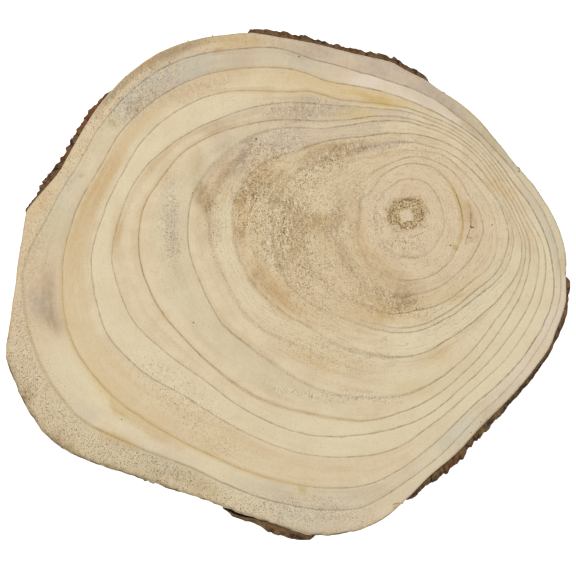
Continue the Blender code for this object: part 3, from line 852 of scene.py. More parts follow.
class Face:
    """The sawn top face: rows of points between the growth lines, fewer points per row near the pith."""

    def __init__(self, sheet):
        self.sheet = sheet
        self.kept = {}

    def columns_of(self, name):
        if name == "P":
            return COLUMNS // 4
        return COLUMNS // 2 if name in ("B", "C", "D") else COLUMNS

    def table(self, columns):
        if columns not in self.kept:
            bearings = all_round(columns)
            charts = line_charts(bearings)
            values = {name: line_values(name, bearings) for name in LINES}
            slants = {name: line_slant(charts[name], bearings) for name in LINES}
            self.kept[columns] = bearings, charts, values, slants
        return self.kept[columns]

    def row(self, distances, columns, near, crumb_depth):
        """One loop at these distances; `near` names the lines on either side."""
        bearings, charts, values, slants = self.table(columns)
        x, y = spread(distances, bearings)
        away = np.full(columns, FAR)
        ink, warm, specks = np.zeros(columns), np.zeros(columns), np.zeros(columns)
        for name in near:
            gap = np.abs(distances - charts[name]) * slants[name]
            nearer = gap < away
            away = np.where(nearer, gap, away)
            ink, warm, specks = (
                np.where(nearer, new, old) for new, old in zip(values[name], (ink, warm, specks))
            )
        rough = roughness_of(x, y)
        crumbs, core = pith_masks(x, y)
        pits = np.clip(crumbs * (crumb_depth + 0.3 * clouds(x, y, 0.8, 31)) * (1 - core), 0, 0.8)
        groove = GROOVE_DEPTH * ink * np.clip(1 - away / GROOVE_HALF_WIDTH, 0, 1)
        nap = 0.1 * rough * (0.6 + clouds(x, y, 0.9, 21)) + 0.03 * (1 + clouds(x, y, 14, 22))
        depth = groove + np.clip(nap, 0, 0.25) + pits
        outer_ring = smooth((distances - charts["R1"]) / 2)
        speckle = np.maximum(0.55 * within(bearings, 128, 262, 5), within(bearings, 196, 244, 10))
        stain, amount = face_stain(x, y, bearings, distances, charts)
        inner, outer = charts[near[0]], charts[near[-1]]
        share = (distances - inner) / np.maximum(outer - inner, 0.5) if len(near) > 1 else distances / inner
        return self.sheet.loop(
            x,
            y,
            THICKNESS - depth,
            stain,
            stain_amount=amount,
            ring_place=LINES.index(near[0]) + share,
            line_distance=away,
            line_ink=ink,
            line_warmth=warm,
            line_specks=specks,
            rough=rough,
            speckle=np.maximum(0.8 * rough, speckle * outer_ring),
            pith=crumbs,
        )

    def rows_between(self, inner, outer):
        """Distances of the rows from one line to the next: both lips of the grooves and evenly between."""
        gap = outer - inner
        lip = np.minimum(GROOVE_HALF_WIDTH, 0.25 * gap)
        between = max(1, round(float(gap.max()) / ROW_SPACING))
        rows = [inner + lip + (gap - 2 * lip) * k / (between + 1) for k in range(1, between + 1)]
        return [inner, inner + lip, *rows, outer - lip]

    def build(self):
        """Adds the face's points and faces, and returns its outermost loop."""
        centre = self.sheet.centre(THICKNESS - 0.2)
        columns = self.columns_of("P")
        pith_edge = self.table(columns)[1]["P"]
        last = self.row(pith_edge / (PITH_ROWS + 1), columns, ("P",), 0.35)
        self.sheet.fan(centre, last, TOP)
        for i in range(2, PITH_ROWS + 1):
            row = self.row(pith_edge * i / (PITH_ROWS + 1), columns, ("P",), 0.35)
            self.sheet.band(last, row, TOP)
            last = row
        for name, following in zip(LINES, LINES[1:] + ("edge",)):
            columns = self.columns_of(name)
            charts = self.table(columns)[1]
            at_edge = following == "edge"
            outer = charts[following] - (EDGE_BEVEL if at_edge else 0)
            near = (name,) if at_edge else (name, following)
            for distances in self.rows_between(charts[name], outer):
                row = self.row(distances, columns, near, 0.3)
                self.sheet.band(last, row, TOP)
                last = row
        return last


def pith_masks(x, y):
    """Where the crumbly ring around the pith is, out to line P, and the squarish pale core in it."""
    wobble = 1 + 0.12 * clouds(x, y, 2.5, 32) + 0.08 * clouds(x, y, 1.1, 33)
    line = around(RING_CORES, np.degrees(np.arctan2(y, x)))[:, 0]
    away = np.hypot(x, y) * wobble
    fringe = 0.3 * smooth((12.5 - away) / 1.5) * (np.abs(y) < 9)
    crumbs = smooth((1.1 * line - away) / 1.3 + 0.5) + fringe
    turned_x = 0.97 * (x + 0.56) + 0.26 * (y + 1.3)
    turned_y = -0.26 * (x + 0.56) + 0.97 * (y + 1.3)
    square = (np.abs(turned_x / 3.7) ** 5 + np.abs(turned_y / 3.4) ** 5) ** 0.2
    core = smooth((1.08 - square * (1 + 0.1 * clouds(x, y, 1.3, 34))) / 0.2)
    return np.clip(crumbs, 0, 1) * (1 - core), core


def wood_sheet():
    """The whole disc: the sawn top face, the bare side wall and the sawn underside, as one closed surface."""
    sheet = Sheet()
    last = Face(sheet).build()
    bearings = all_round(COLUMNS)
    straight = THICKNESS - 2 * EDGE_BEVEL
    rows = [(RIM_INSET, THICKNESS - RIM_INSET), (0, THICKNESS - EDGE_BEVEL)]
    rows += [(0, THICKNESS - EDGE_BEVEL - straight * k / WALL_ROWS) for k in range(1, WALL_ROWS + 1)]
    rows += [(RIM_INSET, RIM_INSET), (EDGE_BEVEL, 0)]
    for inset, height in rows:
        x, y = spread(side_reach(bearings, height) - inset, bearings)
        row = sheet.loop(x, y, np.full(COLUMNS, float(height)), wall_tint(x, y, height, bearings))
        sheet.band(last, row, SIDE)
        last = row
    close_underside(sheet, last)
    return sheet


def wall_tint(x, y, height, bearings):
    """Bare wood under the lost bark, with what is left of the bast on it, and a rim darkened in patches at the
    lower left, partly grime and partly painted shade.
    """
    bast = smooth(0.45 + 0.9 * clouds(x + 0.3 * height, y - 0.3 * height, 14, 44) + 0.5 * clouds(x, y, 4, 45))
    streak = smooth(0.5 + 0.8 * clouds(x + 0.06 * height, y, 2.6, 46))
    tint = linear("wall") * (1 - 0.5 * streak[:, None]) + linear("fibre") * 0.5 * streak[:, None]
    amount = (0.85 * bast * (0.35 + 0.65 * within(bearings, 200, 262, 12)))[:, None]
    tint = tint * (1 - amount) + linear("bast") * amount
    rim = math.exp(-max(THICKNESS - EDGE_BEVEL / 2 - height, 0) / 1.2)
    # Dark patches on the rim at the lower left: partly grime and bast remains, partly painted shade standing in
    # for the shaded side wall.
    patches = smooth(0.55 + 1.2 * clouds(x, y, 5, 49) + 0.6 * clouds(x, y, 1.4, 50))
    grime_and_shade = (within(bearings, 200, 262, 5) * patches)[:, None]
    rim_tint = linear("rim") * (1 - grime_and_shade) + linear("grime_and_shade") * grime_and_shade
    return tint * (1 - rim) + rim_tint * rim


def close_underside(sheet, last):
    """The sawn underside: the same lines with fewer points, from the edge in to the pith."""
    columns = COLUMNS // 2
    bearings = all_round(columns)
    charts = line_charts(bearings)
    inks = {line: ink_of(line, bearings) for line in LINES}
    rows = []
    for number, following in enumerate(LINES[1:] + ("edge",)):
        inner = charts[LINES[number]]
        outer = charts[following] - (UNDERSIDE_INSET if following == "edge" else 0)
        rows.append((number, inner))
        rows.append((number + 0.5, (inner + outer) / 2))
    rows.append((len(LINES), outer))
    for place, distances in reversed(rows):
        x, y = spread(distances, bearings)
        away = np.full(columns, FAR)
        ink = np.zeros(columns)
        for line in LINES:
            gap = np.abs(distances - charts[line])
            ink = np.where(gap < away, inks[line], ink)
            away = np.minimum(gap, away)
        stain = linear("tan") * (1 + 0.05 * clouds(x, y, 20, 51) + 0.04 * clouds(x, y, 5, 52))[:, None]
        row = sheet.loop(
            x,
            y,
            np.where(away < 0.01, 0.15 * ink, 0.0),
            stain,
            stain_amount=0.9,
            line_distance=away,
            line_ink=0.8 * ink,
            ring_place=place,
            rough=0.3 + 0.2 * clouds(x, y, 12, 53),
        )
        sheet.band(last, row, UNDER)
        last = row
    sheet.fan(sheet.centre(0.0, stain_amount=0.9), last[::-1], UNDER)


class Nodes:
    """Adds nodes to one new material and joins them up."""

    def __init__(self, name):
        self.material = bpy.data.materials.new(name)
        self.material.use_nodes = True
        self.tree = self.material.node_tree
        self.shader = self.tree.nodes["Principled BSDF"]
        self.position = self.add("ShaderNodeTexCoord").outputs["Object"]

    def add(self, kind, **settings):
        node = self.tree.nodes.new(kind)
        for name, value in settings.items():
            setattr(node, name, value)
        return node

    def put(self, socket, value):
        """Links a socket to another one, or sets its own value, which may be the name of a colour."""
        if isinstance(value, bpy.types.NodeSocket):
            self.tree.links.new(value, socket)
        elif isinstance(value, str):
            socket.default_value = (*linear(value), 1)
        else:
            socket.default_value = value

    def attribute(self, name, output="Fac"):
        return self.add("ShaderNodeAttribute", attribute_name=name).outputs[output]

    def math(self, operation, a, b=0.0, clamp=False):
        node = self.add("ShaderNodeMath", operation=operation, use_clamp=clamp)
        self.put(node.inputs[0], a)
        self.put(node.inputs[1], b)
        return node.outputs[0]

    def plus(self, a, b):
        return self.math("ADD", a, b)

    def minus(self, a, b):
        return self.math("SUBTRACT", a, b)

    def times(self, a, b, clamp=False):
        return self.math("MULTIPLY", a, b, clamp)

    def vector(self, operation, a, b):
        """The outputs of vector arithmetic: the vector, then the number."""
        node = self.add("ShaderNodeVectorMath", operation=operation)
        self.put(node.inputs[0], a)
        self.put(node.inputs[1], b)
        return node.outputs

    def longer(self, vector, factor):
        node = self.add("ShaderNodeVectorMath", operation="SCALE")
        self.put(node.inputs[0], vector)
        self.put(node.inputs["Scale"], factor)
        return node.outputs[0]

    def scaled(self, x, y, z):
        """The place in millimetres, stretched by these factors."""
        return self.vector("MULTIPLY", self.position, (x / MM, y / MM, z / MM))[0]

    def noise(self, vector, size, detail=2.0, roughness=0.5):
        node = self.add("ShaderNodeTexNoise")
        self.put(node.inputs["Vector"], vector)
        node.inputs["Scale"].default_value = 1 / size
        node.inputs["Detail"].default_value = detail
        node.inputs["Roughness"].default_value = roughness
        return node.outputs["Fac"]

    def ramp(self, value, low, high, start=0.0, end=1.0):
        """A smooth step from `start` to `end` while the value goes from `low` to `high`."""
        node = self.add("ShaderNodeMapRange", interpolation_type="SMOOTHSTEP", clamp=True)
        for socket, given in zip(node.inputs, (value, low, high, start, end)):
            self.put(socket, given)
        return node.outputs["Result"]

    def mix(self, share, a, b):
        node = self.add("ShaderNodeMix", data_type="RGBA")
        self.put(node.inputs["Factor"], share)
        self.put(node.inputs["A"], a)
        self.put(node.inputs["B"], b)
        return node.outputs["Result"]

    def bump(self, height, strength, distance):
        node = self.add("ShaderNodeBump")
        node.inputs["Strength"].default_value = strength
        node.inputs["Distance"].default_value = distance * MM
        self.put(node.inputs["Height"], height)
        return node.outputs["Normal"]

    def finish(self, colour, roughness, normal, specular=0.25):
        self.put(self.shader.inputs["Base Color"], colour)
        self.put(self.shader.inputs["Roughness"], roughness)
        self.put(self.shader.inputs["Normal"], normal)
        self.shader.inputs["Specular IOR Level"].default_value = specular
        return self.material


def distance_to_stroke(nodes, points):
    """Distance in millimetres from the shaded point to a line through pixels of the photograph."""
    flat = nodes.scaled(1, 1, 0)
    nearest = None
    for start, end in zip(points, points[1:]):
        a = np.array(from_photo(*start)) + PITH
        b = np.array(from_photo(*end)) + PITH
        length = float(np.hypot(*(b - a)))
        way = (*((b - a) / length), 0)
        from_a = nodes.vector("SUBTRACT", flat, (*a, 0))[0]
        along = nodes.vector("DOT_PRODUCT", from_a, way)["Value"]
        along = nodes.math("MINIMUM", nodes.math("MAXIMUM", along, 0.0), length)
        distance = nodes.vector("DISTANCE", from_a, nodes.longer(way, along))["Value"]
        nearest = distance if nearest is None else nodes.math("MINIMUM", nearest, distance)
    return nearest


def dot_cover(nodes, dots):
    """1 inside the dark dots, 0 outside."""
    flat = nodes.scaled(1, 1, 0)
    cover = None
    for px, py, radius in dots:
        middle = (*(np.array(from_photo(px, py)) + PITH), 0)
        away = nodes.vector("DISTANCE", flat, middle)["Value"]
        one = nodes.ramp(away, 0.35 * radius, radius, 1.0, 0.0)
        cover = one if cover is None else nodes.math("MAXIMUM", cover, one)
    return cover


def ring_streaks(nodes, across, along):
    """Noise drawn out along the growth rings: thin where they are crowded, broad where they are far apart."""
    from_pith = nodes.vector("SUBTRACT", nodes.scaled(1, 1, 0), (*PITH, 0))[0]
    heading = nodes.add("ShaderNodeVectorMath", operation="NORMALIZE")
    nodes.put(heading.inputs[0], from_pith)
    wide = nodes.longer(heading.outputs[0], along)
    out = nodes.add("ShaderNodeCombineXYZ")
    nodes.put(out.inputs["Z"], nodes.times(nodes.attribute("ring_place"), across))
    both = nodes.vector("ADD", wide, out.outputs[0])[0]
    return nodes.noise(both, 1.0, 3.0, 0.6)


def broken_up(nodes, place):
    """Noise that cuts a line up into specks."""
    return nodes.ramp(nodes.noise(place, 0.7, 2.0), 0.42, 0.62)


def stained_ground(nodes, rough, drift):
    """The wood's own colour with what stains it, uneven where the face is torn."""
    clumps = nodes.noise(nodes.scaled(1, 0.65, 1), 2.6, 4.0, 0.75)
    streaks = ring_streaks(nodes, 3.3, 2.2)
    colour = nodes.mix(nodes.ramp(drift, 0.35, 0.65), "ground", "pale_ground")
    colour = nodes.mix(nodes.ramp(streaks, 0.5, 0.72, 0.0, 0.35), colour, "brown")
    colour = nodes.mix(nodes.ramp(streaks, 0.5, 0.28, 0.0, 0.4), colour, "cream")
    uneven = nodes.times(nodes.minus(nodes.ramp(clumps, 0.36, 0.64), 0.5), 1.1)
    uneven = nodes.times(uneven, nodes.plus(rough, 0.3))
    along_rings = nodes.times(nodes.minus(streaks, 0.5), 1.6)
    clumped = nodes.plus(nodes.plus(uneven, along_rings), 1.0)
    patchy = nodes.times(nodes.attribute("stain_amount"), clumped, clamp=True)
    return nodes.mix(patchy, colour, nodes.attribute("stain", "Color"))


def with_hair_lines(nodes, colour, fine):
    """Hair-thin lines along the rings, nearly gone in the outer half."""
    hair = nodes.math("ABSOLUTE", nodes.minus(ring_streaks(nodes, 7.0, 3.5), 0.5))
    hair = nodes.times(nodes.ramp(hair, 0.0, 0.035, 0.42, 0.0), nodes.ramp(fine, 0.35, 0.6))
    hair = nodes.times(hair, nodes.ramp(nodes.attribute("ring_place"), 7.0, 8.6, 1.0, 0.15))
    return nodes.mix(hair, colour, "hair")


def with_grain(nodes, colour, place, rough, fine):
    """Light and dark specks of torn fibre, strongest where the face is rough."""
    coarse = nodes.noise(place, 1.9, 3.0, 0.6)
    hatch = nodes.noise(nodes.scaled(1, 0.2, 1), 0.8, 2.0)
    grain = nodes.minus(fine, 0.5)
    grain = nodes.plus(grain, nodes.times(nodes.minus(coarse, 0.5), 0.4))
    grain = nodes.plus(grain, nodes.times(nodes.minus(hatch, 0.5), 0.35))
    swing = nodes.times(grain, nodes.plus(nodes.times(rough, 0.85), 0.38))
    darker = nodes.mix(nodes.ramp(swing, 0.0, 0.34), colour, "dark_grain")
    return nodes.mix(nodes.ramp(swing, 0.0, -0.44), darker, "light_grain")


def pore_cover(nodes, drift):
    pores = nodes.noise(nodes.scaled(1.2, 0.9, 1), 0.74, 1.0)
    level = nodes.minus(0.735, nodes.times(nodes.attribute("speckle"), 0.135))
    level = nodes.minus(level, nodes.ramp(drift, 0.5, 0.62, 0.0, 0.03))
    return nodes.ramp(nodes.minus(pores, level), 0.0, 0.06, 0.0, 0.7)


def with_lines(nodes, colour, place, jitter):
    """The growth lines, some in specks and some with a warm glow, and how dark they are for the relief."""
    wander = nodes.times(nodes.minus(nodes.noise(place, 3.0), 0.5), 0.5)
    away = nodes.plus(nodes.attribute("line_distance"), wander)
    away = nodes.plus(nodes.math("ABSOLUTE", away), jitter)
    specks = nodes.attribute("line_specks")
    width = nodes.plus(nodes.times(specks, 1.2), 0.62)
    line = nodes.ramp(nodes.math("DIVIDE", away, width), 0.05, 1.0, 1.0, 0.0)
    uneven = nodes.ramp(nodes.noise(place, 5.0, 3.0), 0.3, 0.7, 0.55, 1.0)
    broken = nodes.plus(nodes.times(specks, nodes.minus(broken_up(nodes, place), 1.0)), 1.0)
    inked = nodes.times(line, nodes.attribute("line_ink"))
    inked = nodes.times(inked, nodes.times(uneven, broken), clamp=True)
    warmth = nodes.attribute("line_warmth")
    colour = nodes.mix(inked, colour, nodes.mix(warmth, "ink", "warm_ink"))
    glow = nodes.times(nodes.ramp(away, 0.0, 2.6, 0.45, 0.0), warmth)
    return nodes.mix(glow, colour, "ochre"), inked


def with_pith_crumbs(nodes, colour, height, place):
    """The crumbly ring round the pith: brown ground, dark and light flecks, and their relief."""
    crumbs = nodes.attribute("pith")
    lumps = nodes.noise(place, 0.95, 3.0, 0.7)
    patches = nodes.ramp(nodes.noise(place, 3.2, 2.0), 0.38, 0.6, 0.55, 1.0)
    colour = nodes.mix(nodes.times(crumbs, patches), colour, "pith_ground")
    dark = nodes.times(nodes.ramp(lumps, 0.51, 0.63), crumbs)
    colour = nodes.mix(nodes.times(dark, 0.9), colour, "pith_dark")
    light = nodes.times(nodes.ramp(lumps, 0.47, 0.36), crumbs)
    colour = nodes.mix(nodes.times(light, 0.85), colour, "pith_light")
    return colour, nodes.plus(height, nodes.times(lumps, crumbs))


def with_strokes(nodes, colour, jitter, specks):
    """The colour with the thin dark marks and dots on it, and how dark they are for the relief."""
    black = nodes.times(dot_cover(nodes, DOTS), 0.8)
    colour = nodes.mix(black, colour, "soot")
    ragged = nodes.times(jitter, 0.6)
    for name, strength, half_width, breaks, pixels in STROKES:
        away = nodes.plus(distance_to_stroke(nodes, pixels), ragged)
        cover = nodes.ramp(away, 0.15 * half_width, half_width, strength, 0.0)
        whole = nodes.plus(nodes.times(specks, breaks), 1 - breaks)
        cover = nodes.times(cover, whole, clamp=True)
        colour = nodes.mix(cover, colour, name)
        black = nodes.math("MAXIMUM", black, cover)
    return colour, black


def sawn_face_material(name, marks):
    """Sawn end grain. The top has the pith's crumbs, the check and the dots; the underside has saw marks."""
    nodes = Nodes(name)
    place = nodes.scaled(1, 1, 1)
    rough = nodes.attribute("rough")
    fine = nodes.noise(place, 0.72, 2.0, 0.65)
    drift = nodes.noise(place, 14.0, 3.0, 0.6)
    jitter = nodes.times(nodes.minus(nodes.noise(place, 0.8), 0.5), 0.6)
    colour = stained_ground(nodes, rough, drift)
    colour = with_hair_lines(nodes, colour, fine)
    colour = with_grain(nodes, colour, place, rough, fine)
    pore = pore_cover(nodes, drift)
    colour = nodes.mix(pore, colour, "pore")
    colour, inked = with_lines(nodes, colour, place, jitter)
    height = nodes.times(fine, nodes.plus(rough, 0.3))
    height = nodes.minus(nodes.minus(height, nodes.times(inked, 0.5)), pore)
    if marks:
        colour, height = with_pith_crumbs(nodes, colour, height, place)
        colour, black = with_strokes(nodes, colour, jitter, broken_up(nodes, place))
        height = nodes.minus(height, nodes.times(black, 2.0))
    else:
        saw = nodes.noise(nodes.scaled(0.9, 0.02, 1), 1.1, 2.0)
        colour = nodes.mix(nodes.ramp(saw, 0.45, 0.75, 0.0, 0.35), colour, "saw_mark")
        height = nodes.plus(height, saw)
    return nodes.finish(colour, nodes.ramp(fine, 0.2, 0.8, 0.62, 0.8), nodes.bump(height, 0.35, 0.25))


def bare_side_material():
    """The side wall where the bark is gone: long fibres, flecks of dark bast and a dull surface."""
    nodes = Nodes("bare_side")
    fibres = nodes.noise(nodes.scaled(1, 1, 0.06), 0.5, 3.0, 0.6)
    broad = nodes.noise(nodes.scaled(1, 1, 0.2), 4.0, 2.0)
    crumbs = nodes.noise(nodes.scaled(1, 1, 0.7), 0.9, 3.0, 0.7)
    colour = nodes.attribute("stain", "Color")
    colour = nodes.mix(nodes.ramp(fibres, 0.5, 0.75, 0.0, 0.55), colour, "dark_fibre")
    colour = nodes.mix(nodes.ramp(fibres, 0.48, 0.25, 0.0, 0.4), colour, "light_fibre")
    colour = nodes.mix(nodes.ramp(broad, 0.55, 0.75, 0.0, 0.35), colour, "wall_patch")
    colour = nodes.mix(nodes.ramp(crumbs, 0.6, 0.72, 0.0, 0.7), colour, "wall_fleck")
    height = nodes.plus(fibres, nodes.times(crumbs, 0.7))
    return nodes.finish(colour, nodes.ramp(crumbs, 0.3, 0.7, 0.72, 0.9), nodes.bump(height, 0.6, 0.4))


def bark_material():
    """Bark: its tint from the mesh, with dark hollows, pale crests, flecks and dust."""
    nodes = Nodes("bark")
    place = nodes.scaled(1, 1, 0.45)
    lumps = nodes.noise(place, 1.6, 4.0, 0.65)
    fine = nodes.noise(place, 0.4, 3.0, 0.7)
    colour = nodes.attribute("tint", "Color")
    colour = nodes.mix(nodes.ramp(lumps, 0.48, 0.68, 0.0, 0.6), colour, "bark_hollow")
    colour = nodes.mix(nodes.ramp(lumps, 0.46, 0.3, 0.0, 0.45), colour, "bark_crest")
    colour = nodes.mix(nodes.ramp(fine, 0.55, 0.72, 0.0, 0.5), colour, "bark_fleck")
    colour = nodes.mix(nodes.ramp(fine, 0.42, 0.28, 0.0, 0.3), colour, "bark_dust")
    height = nodes.plus(lumps, nodes.times(fine, 0.5))
    return nodes.finish(colour, nodes.ramp(fine, 0.3, 0.7, 0.8, 0.95), nodes.bump(height, 0.7, 0.6), 0.2)


def strip_outline():
    """Once round a cut through the bark: the share of the way up, and of the way out from the wood."""
    outline = [(k / BARK_OUTER_ROWS, 1.0) for k in range(BARK_OUTER_ROWS + 1)]
    outline += [(1.0, 1 - k / BARK_CUT_ROWS) for k in range(1, BARK_CUT_ROWS)]
    outline += [(1 - k / BARK_INNER_ROWS, 0.0) for k in range(BARK_INNER_ROWS + 1)]
    outline += [(0.0, k / BARK_CUT_ROWS) for k in range(1, BARK_CUT_ROWS)]
    return outline


def tube_faces(sections, around_count):
    """Faces of a closed tube whose points go round once per section, with both ends capped."""
    index = np.arange((sections + 1) * around_count).reshape(sections + 1, around_count)
    faces = []
    for here, there in zip(index, index[1:]):
        quads = np.stack([here, there, np.roll(there, -1), np.roll(here, -1)], axis=1)
        faces.extend(map(tuple, quads.tolist()))
    return [*faces, tuple(index[0].tolist()), tuple(reversed(index[-1].tolist()))]


def bark_piece(name, seed, material):
    """One strip as a closed tube: ridged outside, sawn at both faces, smooth on the inner side, ragged ends."""
    first, last, thicknesses, lifts = BARK_STRIPS[name]
    middle_edge = float(edge_at([(first + last) / 2])[0])
    length = math.radians(last - first) * middle_edge
    sections = math.ceil(length / BARK_STEP)
    share = np.linspace(0, 1, sections + 1)
    steps = np.linspace(0, 1, len(thicknesses))
    middle = first + share * (last - first)
    edge = edge_at(middle)
    run = np.radians(middle) * edge
    thick = np.interp(share, steps, thicknesses)
    lift = np.interp(share, steps, lifts)
    lean = np.degrees(END_RAGGEDNESS / edge) * np.abs(2 * share - 1) ** 5
    bottom = BARK_BOTTOM + EDGE_NICKS * np.maximum(ripple(run / 7, seed + 3), 0)
    top = BARK_TOP - EDGE_NICKS * np.maximum(ripple(run / 6, seed + 4), 0)
    from_end = np.minimum(share, 1 - share) * math.radians(last - first) * middle_edge
    taper = np.clip(from_end / 2.0, 0, 1) ** 0.5

    outline = strip_outline()
    loops, tints = [], []
    for up, out in outline:
        height = bottom + (top - bottom) * up
        bearing = middle + lean * ripple(height / 9, seed + 2)
        gap = BARK_GAP_AT_FACE + (BARK_GAP - BARK_GAP_AT_FACE) * smooth((1 - up) / 0.15)
        base = side_reach(bearing, height) + gap + lift
        ridges = ripple(run / 7 + 0.25 * np.sin(height / 5), seed)
        plates = ripple(height / 11 + 0.3 * np.sin(run / 13), seed + 1)
        rounding = 0.12 * thick * (abs(2 * up - 1) ** 12)
        crest = clouds(run, 0.3 * height, 2.0, seed + 61) + 0.6 * clouds(run, 0.6 * height, 1.0, seed + 62)
        chunks = clouds(run, 0.12 * height, 4.6, seed + 67)
        chunks = np.sign(chunks) * smooth(3 * np.abs(chunks))
        waves = clouds(run + 0.8 * np.sin(height / 4), 0.2 * height, 4.2, seed + 63)
        furrow = np.maximum(0, 1 - np.abs(waves) / 0.2)
        relief = thick * (0.12 * ridges + 0.1 * plates) + 0.12 * thick * chunks - rounding
        depth = np.maximum(thick + relief, 0.5) * taper + 0.05
        detail = (0.3 * crest - 0.35 * furrow) * np.clip(depth / 3, 0.2, 1)
        reach = base + out * np.maximum(depth + detail - 0.25, 0.35 * depth)
        if up in (0.0, 1.0):
            height = height + (1 if up == 0 else -1) * 0.25 * (1 + clouds(run, 8 * out, 1.7, seed + 64))
        loops.append(in_box(*spread(reach, bearing), height))
        tints.append(bark_tint(out, crest, furrow, run, height, seed, bearing))
    points = np.stack(loops, axis=1).reshape(-1, 3)
    colours = np.stack(tints, axis=1).reshape(-1, 3)
    faces = tube_faces(sections, len(outline))
    return mesh_object(name + "_piece", points, faces, [material], "tint", colours)


def bark_tint(out, crest, furrow, run, height, seed, bearing):
    """Dark in the furrows, lighter on the crests, brown towards the wood, and reddish in places."""
    deep = linear("bark_deep")
    crest_share = smooth(0.5 + 0.7 * crest)[:, None]
    tint = deep * (1 - crest_share) + linear("bark_outside") * crest_share
    tint = tint * (1 - 0.7 * furrow[:, None]) + deep * 0.7 * furrow[:, None]
    share = smooth((0.75 - out) / 0.6 + 0.3 * clouds(run, height, 3, seed + 66))[:, None]
    tint = tint * (1 - share) + linear("bark_inside") * share
    reddish = 0.8 * within(bearing, 160, 165, 3)
    patches = 0.4 * smooth(2 * clouds(run, 0.3 * height, 9, seed + 68) - 0.6)
    reddish = np.maximum(reddish, patches)[:, None]
    return tint * (1 - reddish) + linear("bark_red") * reddish


def crumb_points(bearing, length, width, lean, chance):
    """Points of one closed spindle that sticks out of the wall: rings along it, then its two tips."""
    height = THICKNESS - EDGE_BEVEL - 0.5 * width * chance.uniform(0.6, 1.2)
    ends = np.array([bearing, bearing + 0.5])
    (root_x, ahead_x), (root_y, ahead_y) = spread(side_reach(ends, height), ends)
    root = np.array((root_x, root_y))
    along = np.array((ahead_x, ahead_y)) - root
    along = along / np.hypot(*along)
    outward = np.array((along[1], -along[0]))
    lean = math.radians(lean)
    way = along * math.cos(lean) + outward * math.sin(lean)
    side = np.array((way[1], -way[0]))
    middle = root + way * length * 0.5 * math.sin(lean) - outward * 0.12 * width
    points = []
    for ring in range(CRUMB_RINGS):
        share = (ring + 0.5) / CRUMB_RINGS
        swell = 0.5 * width * math.sin(math.pi * share) ** 0.7 * chance.uniform(0.75, 1.1)
        centre = middle + way * length * (share - 0.5)
        for k in range(CRUMB_SIDES):
            angle = 2 * math.pi * k / CRUMB_SIDES
            thick = swell * chance.uniform(0.8, 1.15)
            flat = centre + side * thick * math.cos(angle)
            points.append((flat[0], flat[1], height + 0.8 * thick * math.sin(angle)))
    for share in (-0.5, 0.5):
        tip = middle + way * length * share
        points.append((tip[0], tip[1], height))
    return points


def crumb_faces(first):
    """Faces of one spindle whose points start at this index."""
    tip = first + CRUMB_RINGS * CRUMB_SIDES
    pairs = []
    for start in range(first, tip, CRUMB_SIDES):
        ring = list(range(start, start + CRUMB_SIDES))
        pairs.append(list(zip(ring, ring[1:] + ring[:1])))
    faces = [(tip, a, b) for a, b in pairs[0]] + [(tip + 1, b, a) for a, b in pairs[-1]]
    for ring in pairs[:-1]:
        faces += [(a, a + CRUMB_SIDES, b + CRUMB_SIDES, b) for a, b in ring]
    return faces


def edge_bits_piece(material):
    """Crumbs of bark and torn fibres on the edge: closed spindles, each with its root in the wall."""
    points, faces, tints = [], [], []
    for number, (bearing, length, width, lean, tint) in enumerate(EDGE_BITS):
        faces.extend(crumb_faces(len(points)))
        points.extend(crumb_points(bearing, length, width, lean, np.random.default_rng(80 + number)))
        tints.extend([linear(tint)] * (len(points) - len(tints)))
    places = in_box(*np.array(points).T)
    return mesh_object("bark_crumbs", places, faces, [material], "tint", np.array(tints))


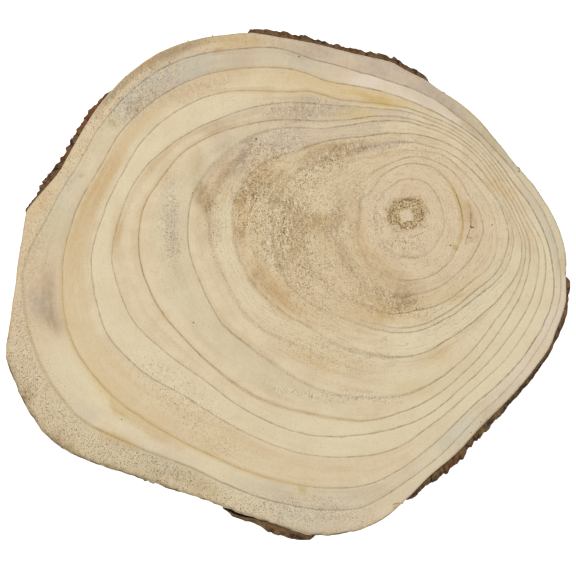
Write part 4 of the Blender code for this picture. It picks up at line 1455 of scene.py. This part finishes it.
def look_from_above():
    """A camera at the photograph's place: straight above, with the photograph's frame at the sawn face."""
    data = bpy.data.cameras.new("camera")
    data.sensor_width = SENSOR_WIDTH
    data.lens = SENSOR_WIDTH * CAMERA_HEIGHT / (PHOTO_SIDE * PHOTO_MM * MM)
    camera = bpy.data.objects.new("camera", data)
    x, y = from_photo(PHOTO_SIDE / 2, PHOTO_SIDE / 2)
    camera.location = ((PITH[0] + x) * MM, (PITH[1] + y) * MM, THICKNESS * MM + CAMERA_HEIGHT)
    bpy.context.scene.collection.objects.link(camera)
    bpy.context.scene.camera = camera


def floor():
    """A plain white floor that glows a little, so that it stays white under the slice."""
    nodes = Nodes("floor")
    nodes.shader.inputs["Base Color"].default_value = (0.9, 0.9, 0.9, 1)
    nodes.shader.inputs["Roughness"].default_value = 0.9
    nodes.shader.inputs["Specular IOR Level"].default_value = 0.1
    nodes.shader.inputs["Emission Color"].default_value = (1, 1, 1, 1)
    nodes.shader.inputs["Emission Strength"].default_value = 0.75
    mesh = bpy.data.meshes.new("floor")
    side = FLOOR_HALF_SIDE
    corners = [(-side, -side, 0), (side, -side, 0), (side, side, 0), (-side, side, 0)]
    mesh.from_pydata(corners, [], [(0, 1, 2, 3)])
    mesh.materials.append(nodes.material)
    made = bpy.data.objects.new("floor", mesh)
    made.location.z = -FLOOR_GAP * MM
    bpy.context.scene.collection.objects.link(made)


def light():
    """Even white light from all round, and one broad lamp up on the left to model the relief."""
    world = bpy.data.worlds.new("studio")
    world.use_nodes = True
    background = world.node_tree.nodes["Background"]
    background.inputs["Color"].default_value = (1, 1, 1, 1)
    background.inputs["Strength"].default_value = 0.75
    bpy.context.scene.world = world
    data = bpy.data.lights.new("lamp", "AREA")
    data.shape = "DISK"
    data.size = 0.8
    data.energy = 17.0
    lamp = bpy.data.objects.new("lamp", data)
    lamp.location = (-0.9, 0.9, 1.8)
    lamp.rotation_euler = lamp.location.to_track_quat("Z", "Y").to_euler()
    bpy.context.scene.collection.objects.link(lamp)
    bpy.context.scene.view_settings.view_transform = "Standard"


def main():
    look_from_above()
    floor()
    light()
    top = sawn_face_material("sawn_top", True)
    under = sawn_face_material("sawn_under", False)
    wood = wood_sheet().object("wood_piece", [top, bare_side_material(), under])
    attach(wood, "root")
    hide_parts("wood")
    bark = bark_material()
    for seed, name in enumerate(BARK_STRIPS):
        piece = bark_piece(name, 10 * seed, bark)
        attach(piece, "root")
        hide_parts(name)
    crumbs = edge_bits_piece(bark)
    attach(crumbs, "root")


main()
